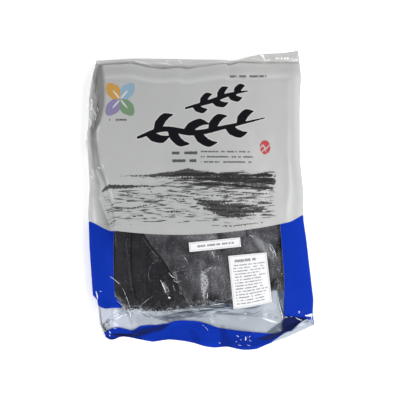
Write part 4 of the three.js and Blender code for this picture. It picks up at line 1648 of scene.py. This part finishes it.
class KELPPACK_OT_front_film(bpy.types.Operator):
    """Makes the printed front film with its clear window"""

    bl_idname = "kelp_pack.front_film"
    bl_label = "Front film"

    def execute(self, context):
        sizes = context.scene.kelp_pack_sizes
        colours = context.scene.kelp_pack_colours
        columns, rows = sum(FILM_COLUMNS), sum(FILM_ROWS)
        piece, column, row = add_grid("front_film", columns, rows)
        x, y = place_at(column, row, FILM_COLUMNS, FILM_ROWS)
        rim = cells_from_rim(column, row, columns, rows)
        z = front_height(x, y) + film_relief(x, y, sizes)
        z = mix(seam_height(y) - HEAD_VALLEY, z, smoothstep(rim, 0, RIM_EASING))
        put_corners(piece, x, y, z)

        set_uv(piece, x / UV_SPAN + 0.5, y / UV_SPAN + 0.5)
        self.store_print(piece, x, y)
        self.store_folds(piece, x, y)
        piece.data.materials.append(printed_film(colours, sizes))
        piece.data.materials.append(clear_film(colours, sizes))
        self.mark_window(piece, column, row)
        self.turn_hem(piece)
        finish_piece(piece, "printed_film", "bag")
        return {"FINISHED"}

    @staticmethod
    def store_print(piece, x, y):
        """Stores how far inside each printed shape every corner lies."""
        leaves, veins = leaf_shapes(x, y)
        set_fields(
            piece,
            blue=blue_print(x, y),
            flap=flap(x, y),
            bold_ink=bold_ink(x, y),
            grey_ink=grey_ink(x, y),
            leaves=leaves,
            veins=veins,
            seal=seal_shape(x, y),
            marks=white_marks(x, y),
            wash=water_wash(x, y),
        )

    @staticmethod
    def store_folds(piece, x, y):
        """Stores the painted shade, painted sheens, painted pale light, painted glints and painted
        dark fold lines, and where the film is sealed and crumpled.
        """
        glint_side, glint_half = crisp_lines(x, y, GLINTS)
        crack_side, crack_half = crisp_lines(x, y, FOLD_SHADOW_LINES)
        tucked = soft_strokes(x, y, TUCK_SHADES, TUCK_SHADE_BLUR)
        set_fields(
            piece,
            shade=np.maximum(soft_strokes(x, y, SHADES), tucked),
            haze=soft_strokes(x, y, SPECKLED_SHEENS),
            sheen=soft_strokes(x, y, SHEENS, SHEEN_BLUR),
            pale=soft_strokes(x, y, PALE_LIGHTS),
            glint_side=glint_side,
            glint_half=glint_half,
            crack_side=crack_side,
            crack_half=crack_half,
            sealed=y - seal_line(x),
            gloss=crumpled_share(x, y),
        )

    @staticmethod
    def mark_window(piece, column, row):
        """Gives the clear material to the cells of the window and of the silver part beside it."""
        corners = corners_of_faces(piece).reshape(-1, 4)
        across, up = column[corners].mean(axis=1), row[corners].mean(axis=1)
        left, middle, _ = FILM_COLUMNS
        foot, below, beside = FILM_ROWS[:3]
        window = (across > left) & (across < left + middle) & (up < foot + below + beside)
        corner = (across > WINDOW_CORNER_COLUMN) & (across < left) & (up < foot + below)
        clear = (window | corner) & (up > foot)
        piece.data.polygons.foreach_set("material_index", clear.astype(np.int32))

    @staticmethod
    def turn_hem(piece):
        """Turns the film's rim under the pack, ring by ring."""
        for ring in range(1, HEM_RINGS + 1):
            deselect_all()
            bpy.context.view_layer.objects.active = piece
            piece.select_set(True)
            bpy.ops.object.mode_set(mode="EDIT")
            bpy.ops.mesh.select_mode(type="EDGE")
            bpy.ops.mesh.select_all(action="DESELECT")
            bpy.ops.mesh.select_non_manifold()
            bpy.ops.mesh.extrude_region_move()
            bpy.ops.object.mode_set(mode="OBJECT")
            picked = np.empty(len(piece.data.vertices), bool)
            piece.data.vertices.foreach_get("select", picked)
            x, y, z = corners_of(piece)
            inset = HEM_STEP * ring
            pulled_x = np.clip(x, left_edge(y) + inset, right_edge(y) - inset)
            pulled_y = np.clip(y, foot_edge(x) + inset, head_edge(x) - inset)
            x = np.where(picked, pulled_x, x)
            y = np.where(picked, pulled_y, y)
            under = np.maximum(back_height(x, y) - HEM_DROP * min(ring, 2), HEM_FLOOR)
            put_corners(piece, x, y, np.where(picked, under, z))


class KELPPACK_OT_back_film(bpy.types.Operator):
    """Makes the back film, which lies on the floor, with its long fin seal"""

    bl_idname = "kelp_pack.back_film"
    bl_label = "Back film"

    def execute(self, context):
        sizes = context.scene.kelp_pack_sizes
        columns, rows = BACK_CELLS
        piece, column, row = add_grid("back_film", columns, rows)
        x, y = place_at(column, row, (columns / 3,) * 3, [rows * share for share in BACK_ROWS])
        rim = cells_from_rim(column, row, columns, rows)
        fin = smoothstep(FIN_HALF - np.abs(x - FIN_MIDDLE), 0, FIN_BLUR)
        crimp = CRIMP_HEIGHT * np.sin(y * CRIMP_TURN) * fin
        soft = BACK_WAVES * (1 + ripple(x, y, 24, 2.2)) * (1 - fin)
        z = back_height(x, y) + BACK_LIFT + (soft + crimp) * smoothstep(rim, 0, BACK_EASING)
        put_corners(piece, x, y, z)
        piece.data.flip_normals()
        piece.data.materials.append(back_silver(context.scene.kelp_pack_colours, sizes))
        finish_piece(piece, "printed_film", "bag")
        return {"FINISHED"}


class KELPPACK_OT_back_lining(bpy.types.Operator):
    """Makes the silver inside of the back film, which shows below the kelp"""

    bl_idname = "kelp_pack.back_lining"
    bl_label = "Back lining"

    def execute(self, context):
        sizes = context.scene.kelp_pack_sizes
        columns, rows = LINING_CELLS
        piece, column, row = add_grid("back_lining", columns, rows)
        x = mix(LINING_LEFT, WINDOW_RIGHT + LINING_OVERLAP, column / columns)
        y = mix(band_top(x) - LINING_OVERLAP, kelp_end(x) + LINING_UP, row / rows)
        x = np.maximum(x, left_edge(y) + LINING_INSET)
        y = np.maximum(y, foot_edge(x) + LINING_INSET)
        film = Cover(bpy.data.objects["front_film"])
        sunk = smoothstep(y, kelp_end(x), kelp_end(x) + LINING_SLOPE)
        under = LINING_DEPTH + LINING_SINKS * sunk
        flow = ripple(x * 0.25, y + 4 * ripple(x, y, 26, 1.4), 5, 3.7)
        z = film.height(x, y) - under - 0.5 * (1 + flow) * smoothstep(y - band_top(x), 0, 6)
        z = np.maximum(z, back_height(x, y) + 1)
        put_corners(piece, x, y, z)
        tables = {"shade": SHADES, "crushed": CRUSHED_LIGHT_AND_SHADE, "pale": PALE_LIGHTS}
        set_fields(piece, **{name: soft_strokes(x, y, table) for name, table in tables.items()})
        piece.data.materials.append(silver_lining(context.scene.kelp_pack_colours, sizes))
        finish_piece(piece, "printed_film", "bag")
        return {"FINISHED"}


# Borders of the kelp and of single sheets, then each sheet: its left and right border, its depth
# below the film, how far its end stops short, and how much bloom it has, partly painted sheen.
KELP_LEFT = ((-121, -160), (-121, -40))
KELP_RIGHT = ((117, -160), (117, -30))
LEFT_SHEET_RIGHT = ((-84, -152), (-91, -120), (-94, -89), (-94, -40))
RIGHT_SHEET_LEFT = ((16, -150), (14, -100), (6, -40))
RIGHT_SHEET_RIGHT = ((66, -150), (60, -89), (62, -40))
MIDDLE_SHEET_LEFT = ((-14, -150), (-29, -120), (-38, -106), (-47, -89), (-61, -73), (-80, -44))
KELP_LEAVES = (
    ("kelp_base", KELP_LEFT, KELP_RIGHT, 5.4, 2.5, 0.2),
    ("kelp_far_right", ((48, -150), (50, -40)), KELP_RIGHT, 3.6, 0, 1.0),
    ("kelp_mid_left", ((-99, -150), (-103, -40)), ((0, -150), (-40, -40)), 3.4, 0, 0.05),
    ("kelp_middle", MIDDLE_SHEET_LEFT, ((30, -150), (24, -100), (26, -40)), 1.8, 0, 0.75),
    ("kelp_right", RIGHT_SHEET_LEFT, RIGHT_SHEET_RIGHT, 1.2, 1, 1.0),
    ("kelp_left", KELP_LEFT, LEFT_SHEET_RIGHT, 1.0, 0, 0.07),
)
KELP_CELLS_PER_MM = 0.62
KELP_LENGTH = 120
KELP_FOOT = -150.0
KELP_TOP_GAP = 3  # the sheets reach this far past the window's highest place
KELP_FREE = 14  # a sheet lies free of the film this far from its end
KELP_LEAST_COLUMNS = 12
KELP_ROUNDS = 3
# How a sheet's sides wander: how far, the size of the waves and their seed.
KELP_WANDER = ((1.4, 19, 0.5), (0.6, 5, 3.5))
# How far below the film a sheet stays, and how far below it lies at its end: in millimetres, and
# for each millimetre of its depth.
KELP_STAYS, KELP_LIES = (0.3, 0.35), (0.7, 0.12)
# Places where the kelp has little bloom and little painted sheen, as strokes.
KELP_DULL = (
    (0.5, -42, -108, 10, -24, -121, 26, -8, -134, 20),
    (0.6, -14, -142, 6, 20, -136, 8, 60, -126, 6),
    (0.4, -74, -50, 10, -60, -62, 16, -52, -74, 8),
    (0.3, 30, -78, 6, 36, -100, 10, 36, -120, 6),
    (0.6, -64, -58, 16, -42, -66, 26, -20, -70, 24, -2, -74, 12),
    (0.64, 76, -45, 8, 90, -47, 15, 104, -49, 12),
    (0.5, 84, -52, 8, 92, -58, 10, 100, -62, 6),
    (0.36, -52, -80, 10, -36, -86, 14, -20, -92, 12),
    (0.42, -6, -80, 10, 4, -84, 13, 14, -88, 10),
    (0.3, 104, -88, 8, 106, -110, 8),
)
KELP_DULL_BLUR = 6
CRUMBS = 330
CRUMB_SEED = 23
CRUMBS_END = 92
CRUMB_HEIGHT = 0.22
CRUMB_BLOOM = 0.08


class KELPPACK_OT_kelp_sheets(bpy.types.Operator):
    """Makes the folded kelp sheets behind the window"""

    bl_idname = "kelp_pack.kelp_sheets"
    bl_label = "Kelp sheets"

    def execute(self, context):
        sizes = context.scene.kelp_pack_sizes
        colours = context.scene.kelp_pack_colours
        film = Cover(bpy.data.objects["front_film"])
        for number, leaf in enumerate(KELP_LEAVES):
            self.add_leaf(number, leaf, film, sizes, colours)
        return {"FINISHED"}

    @staticmethod
    def add_leaf(number, leaf, film, sizes, colours):
        name, left, right, depth, short, bloom = leaf
        borders = np.array([across for across, _ in left + right], float)
        span = borders.max() - borders.min()
        top = KELP_TOP_GAP + window_top(borders).max()
        columns = max(int(span * KELP_CELLS_PER_MM), KELP_LEAST_COLUMNS)
        rows = int(KELP_LENGTH * KELP_CELLS_PER_MM)
        piece, column, row = add_grid(name, columns, rows)
        u, v = column / columns, row / rows
        none = np.zeros_like(u)
        y = mix(KELP_FOOT, top, v)
        for _ in range(KELP_ROUNDS):
            waves = (far * ripple(none, y, size, number + seed) for far, size, seed in KELP_WANDER)
            wander = sum(waves)
            edge_left = along_side(y, left) + wander * (left is not KELP_LEFT)
            edge_right = along_side(y, right) + wander * (right is not KELP_RIGHT)
            x = mix(edge_left, edge_right, u)
            fine_teeth = 2.6 * ripple(x, none, 3.4, number + 8.5)
            teeth = fine_teeth + 7 * np.abs(ripple(x, none, 8, number + 6.5)) - 1.6
            end = shown_end(x) + short + teeth + 4 * fall(x, -106, -99)
            y = mix(end, top, v)
        along = ripple(x * 2.4, y * 0.35, 14, number + 1.5) * 0.8
        cross = ripple(x, y, 20, number + 2.5) * 0.6
        width = edge_right - edge_left
        curl = 0.7 * (bell(u * width, 3) + bell((1 - u) * width, 3)) * (depth > 1.5)
        z = smooth_height(x, y) - 0.5 - depth + along + cross + curl
        over = film.height(x, y)
        ceiling = over - KELP_STAYS[0] - KELP_STAYS[1] * depth
        lying = over - KELP_LIES[0] - KELP_LIES[1] * depth
        z = mix(lying, np.minimum(z, ceiling), smoothstep(y - end, 0, KELP_FREE))
        put_corners(piece, x, y, z)
        set_fields(piece, dull=soft_strokes(x, y, KELP_DULL, KELP_DULL_BLUR))
        apply_modifier(piece, "SOLIDIFY", thickness=sizes.kelp_thickness, offset=-1)
        piece.data.materials.append(dried_kelp(name, colours, bloom))
        finish_piece(piece, "dried_kelp", "kelp_sheets")


class KELPPACK_OT_kelp_crumbs(bpy.types.Operator):
    """Scatters the flakes of kelp that have broken off along its lower end"""

    bl_idname = "kelp_pack.kelp_crumbs"
    bl_label = "Kelp crumbs"

    def execute(self, context):
        draw = random.Random(CRUMB_SEED)
        film = Cover(bpy.data.objects["front_film"])
        deselect_all()
        bpy.ops.mesh.primitive_ico_sphere_add(subdivisions=1, radius=MM)
        flake = context.object
        places = [draw.uniform(WINDOW_LEFT + 6, CRUMBS_END) for _ in range(CRUMBS)]
        ends = shown_end(np.array(places)) + [draw.gauss(-0.8, 1.5) for _ in places]
        heights = film.height(places, ends) - 0.8
        for x, y, z in zip(places, ends, heights):
            crumb = flake.copy()
            crumb.data = flake.data.copy()
            for corner in crumb.data.vertices:
                corner.co *= draw.uniform(0.7, 1.25)
            size = draw.uniform(0.4, 1.5)
            spot = Vector((x + SHIFT_X, y + SHIFT_Y, z)) * MM
            tilts = [draw.uniform(-0.3, 0.3) for _ in range(2)]
            turn = Euler((*tilts, draw.uniform(0, math.tau)))
            scale = Vector((size, size * draw.uniform(0.4, 0.9), CRUMB_HEIGHT))
            crumb.data.transform(Matrix.LocRotScale(spot, turn, scale))
            context.collection.objects.link(crumb)
            crumb.select_set(True)
        bpy.data.objects.remove(flake)
        context.view_layer.objects.active = crumb
        bpy.ops.object.join()
        piece = context.object
        piece.name = "kelp_crumbs"
        piece.data.name = "kelp_crumbs"
        colours = context.scene.kelp_pack_colours
        piece.data.materials.append(dried_kelp("kelp_crumbs", colours, CRUMB_BLOOM))
        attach(piece, "root")
        return {"FINISHED"}


class KELPPACK_OT_stickers(bpy.types.Operator):
    """Lays both paper stickers on the film"""

    bl_idname = "kelp_pack.stickers"
    bl_label = "Stickers"

    def execute(self, context):
        sizes = context.scene.kelp_pack_sizes
        colours = context.scene.kelp_pack_colours
        film = Cover(bpy.data.objects["front_film"])
        info = sticker_paper("info_paper", colours, INFO_STICKER["size"], info_print)
        date = sticker_paper("date_paper", colours, DATE_STICKER["size"], date_print)
        self.add_sticker("info_sticker", INFO_STICKER, film, sizes, info, "info_label")
        self.add_sticker("date_sticker", DATE_STICKER, film, sizes, date, "date_label")
        return {"FINISHED"}

    @staticmethod
    def add_sticker(name, sticker, film, sizes, material, node):
        columns, rows = sticker["cells"]
        width, height = sticker["size"]
        piece, column, row = add_grid(name, columns, rows)
        u, v = column / columns, row / rows
        angle = math.radians(sticker["turn"])
        across, up = (u - 0.5) * width, (v - 0.5) * height
        up = up + sticker["curl"] * (1 - v) * smoothstep(u, CURL_STARTS, CURL_ENDS)
        x = sticker["at"][0] + across * math.cos(angle) - up * math.sin(angle)
        y = sticker["at"][1] + across * math.sin(angle) + up * math.cos(angle)
        under = film.height(x, y)
        # Paper is stiffer than film: it bridges the small hollows.
        order = np.lexsort((column, row))
        level = under[order].reshape(rows + 1, columns + 1)
        for _ in range(STICKER_EASING):
            padded = np.pad(level, 1, mode="edge")
            beside = padded[1:-1, :-2] + padded[1:-1, 2:]
            level = (padded[:-2, 1:-1] + padded[2:, 1:-1] + beside) / 4
        smooth = np.empty_like(under)
        smooth[order] = level.ravel()
        z = np.maximum(smooth, under + STICKER_GAP) + sizes.sticker_thickness / MM
        put_corners(piece, x, y, z)
        set_uv(piece, u, v)
        apply_modifier(piece, "SOLIDIFY", thickness=sizes.sticker_thickness, offset=-1)
        piece.data.materials.append(material)
        finish_piece(piece, "label_paper", node)


# ---- Studio -------------------------------------------------------------------------------------
# Each light: its name, its power's setting, its size, and its place in metres.
LIGHTS = (
    ("key_light", "key", (2.2, 1.8), (2.1, -1.1, 2.0)),
    ("left_light", "fill", (1.8, 1.6), (-2.1, -0.8, 1.7)),
    ("head_light", "head", (2.6, 0.9), (0.2, 2.5, 1.3)),
    ("panel_light", "panel", (0.9, 0.7), (1.1, -0.25, 1.9)),
    ("spark_right", "spark", (0.05, 0.05), (0.62, 0.25, 1.1)),
    ("spark_left", "spark", (0.04, 0.08), (-0.5, -0.5, 1.1)),
)
AIM_HEIGHT = 0.025
FLOOR_SIZE = 12
SENSOR = 36
# Pale walls all round and a darker ceiling, so that flat film stays deep in colour.
ROOM_STOPS = (
    (0.0, (0.66, 0.66, 0.66)),
    (0.25, (0.6, 0.6, 0.6)),
    (0.72, (0.08, 0.08, 0.085)),
)


def aim(item, target):
    item.rotation_euler = (Vector(target) - item.location).to_track_quat("-Z", "Y").to_euler()


def add_light(name, power, size, place, target):
    bpy.ops.object.light_add(type="AREA", location=place)
    light = bpy.context.object
    light.name = name
    light.data.shape = "RECTANGLE"
    light.data.size, light.data.size_y = size
    light.data.energy = power
    aim(light, target)


class KELPPACK_OT_studio(bpy.types.Operator):
    """Sets up the floor, the lights and the camera"""

    bl_idname = "kelp_pack.studio"
    bl_label = "Studio"

    def execute(self, context):
        studio = context.scene.kelp_pack_studio
        self.add_floor()
        middle = (SHIFT_X * MM, SHIFT_Y * MM, AIM_HEIGHT)
        deselect_all()
        for name, setting, size, place in LIGHTS:
            add_light(name, getattr(studio, setting), size, place, middle)
        self.set_world(context)

        back = studio.distance * math.cos(studio.elevation)
        up = studio.distance * math.sin(studio.elevation)
        bpy.ops.object.camera_add(location=(middle[0], middle[1] - back, middle[2] + up))
        camera = context.object
        camera.data.lens = studio.lens
        camera.data.sensor_width = SENSOR
        aim(camera, middle)
        context.scene.camera = camera
        context.scene.view_settings.view_transform = "Standard"
        return {"FINISHED"}

    @staticmethod
    def add_floor():
        deselect_all()
        bpy.ops.mesh.primitive_plane_add(size=FLOOR_SIZE, location=(0, 0, 0))
        floor = bpy.context.object
        floor.name = "studio_floor"
        paint = Paint("studio_floor")
        speck = paint.noise(paint.object_spot(), 3.0)
        colour = paint.blend(speck, (0.90, 0.90, 0.90), (0.93, 0.93, 0.93))
        floor.data.materials.append(
            paint.surface(
                Base_Color=colour,
                Roughness=0.9,
                Specular_IOR_Level=0.1,
                Emission_Color=(1.0, 1.0, 1.0),
                Emission_Strength=0.32,
            )
        )

    @staticmethod
    def set_world(context):
        """Lights the scene from all round, as a pale room does."""
        world = bpy.data.worlds.new("studio_room")
        context.scene.world = world
        world.use_nodes = True
        tree = world.node_tree
        tree.nodes.clear()
        place = tree.nodes.new("ShaderNodeTexCoord")
        parts = tree.nodes.new("ShaderNodeSeparateXYZ")
        ramp = tree.nodes.new("ShaderNodeValToRGB")
        shade = tree.nodes.new("ShaderNodeBackground")
        out = tree.nodes.new("ShaderNodeOutputWorld")
        Paint.set_stops(ramp.color_ramp, ROOM_STOPS)
        tree.links.new(place.outputs["Generated"], parts.inputs[0])
        tree.links.new(parts.outputs["Z"], ramp.inputs[0])
        tree.links.new(ramp.outputs[0], shade.inputs["Color"])
        tree.links.new(shade.outputs[0], out.inputs["Surface"])


class KELPPACK_PT_panel(bpy.types.Panel):
    """Lists the pack's pieces and settings"""

    bl_idname = "KELPPACK_PT_panel"
    bl_label = "Kelp pack"
    bl_space_type = "VIEW_3D"
    bl_region_type = "UI"
    bl_category = "Kelp pack"

    def draw(self, context):
        for step in STEPS:
            self.layout.operator(step.bl_idname)
        for name in SETTINGS:
            group = getattr(context.scene, name)
            box = self.layout.box()
            for key in group.__annotations__:
                box.prop(group, key)


STEPS = (
    KELPPACK_OT_front_film,
    KELPPACK_OT_back_film,
    KELPPACK_OT_back_lining,
    KELPPACK_OT_kelp_sheets,
    KELPPACK_OT_kelp_crumbs,
    KELPPACK_OT_stickers,
    KELPPACK_OT_studio,
)
SETTINGS = {
    "kelp_pack_sizes": KelpPackSizes,
    "kelp_pack_colours": KelpPackColours,
    "kelp_pack_studio": KelpPackStudio,
}


def register():
    for group in SETTINGS.values():
        bpy.utils.register_class(group)
    for step in STEPS:
        bpy.utils.register_class(step)
    bpy.utils.register_class(KELPPACK_PT_panel)
    for name, group in SETTINGS.items():
        setattr(bpy.types.Scene, name, bpy.props.PointerProperty(type=group))


def unregister():
    for name in SETTINGS:
        delattr(bpy.types.Scene, name)
    bpy.utils.unregister_class(KELPPACK_PT_panel)
    for step in reversed(STEPS):
        bpy.utils.unregister_class(step)
    for group in SETTINGS.values():
        bpy.utils.unregister_class(group)


def main():
    register()
    for step in STEPS:
        module, name = step.bl_idname.split(".")
        getattr(getattr(bpy.ops, module), name)()


if __name__ == "__main__":
    main()
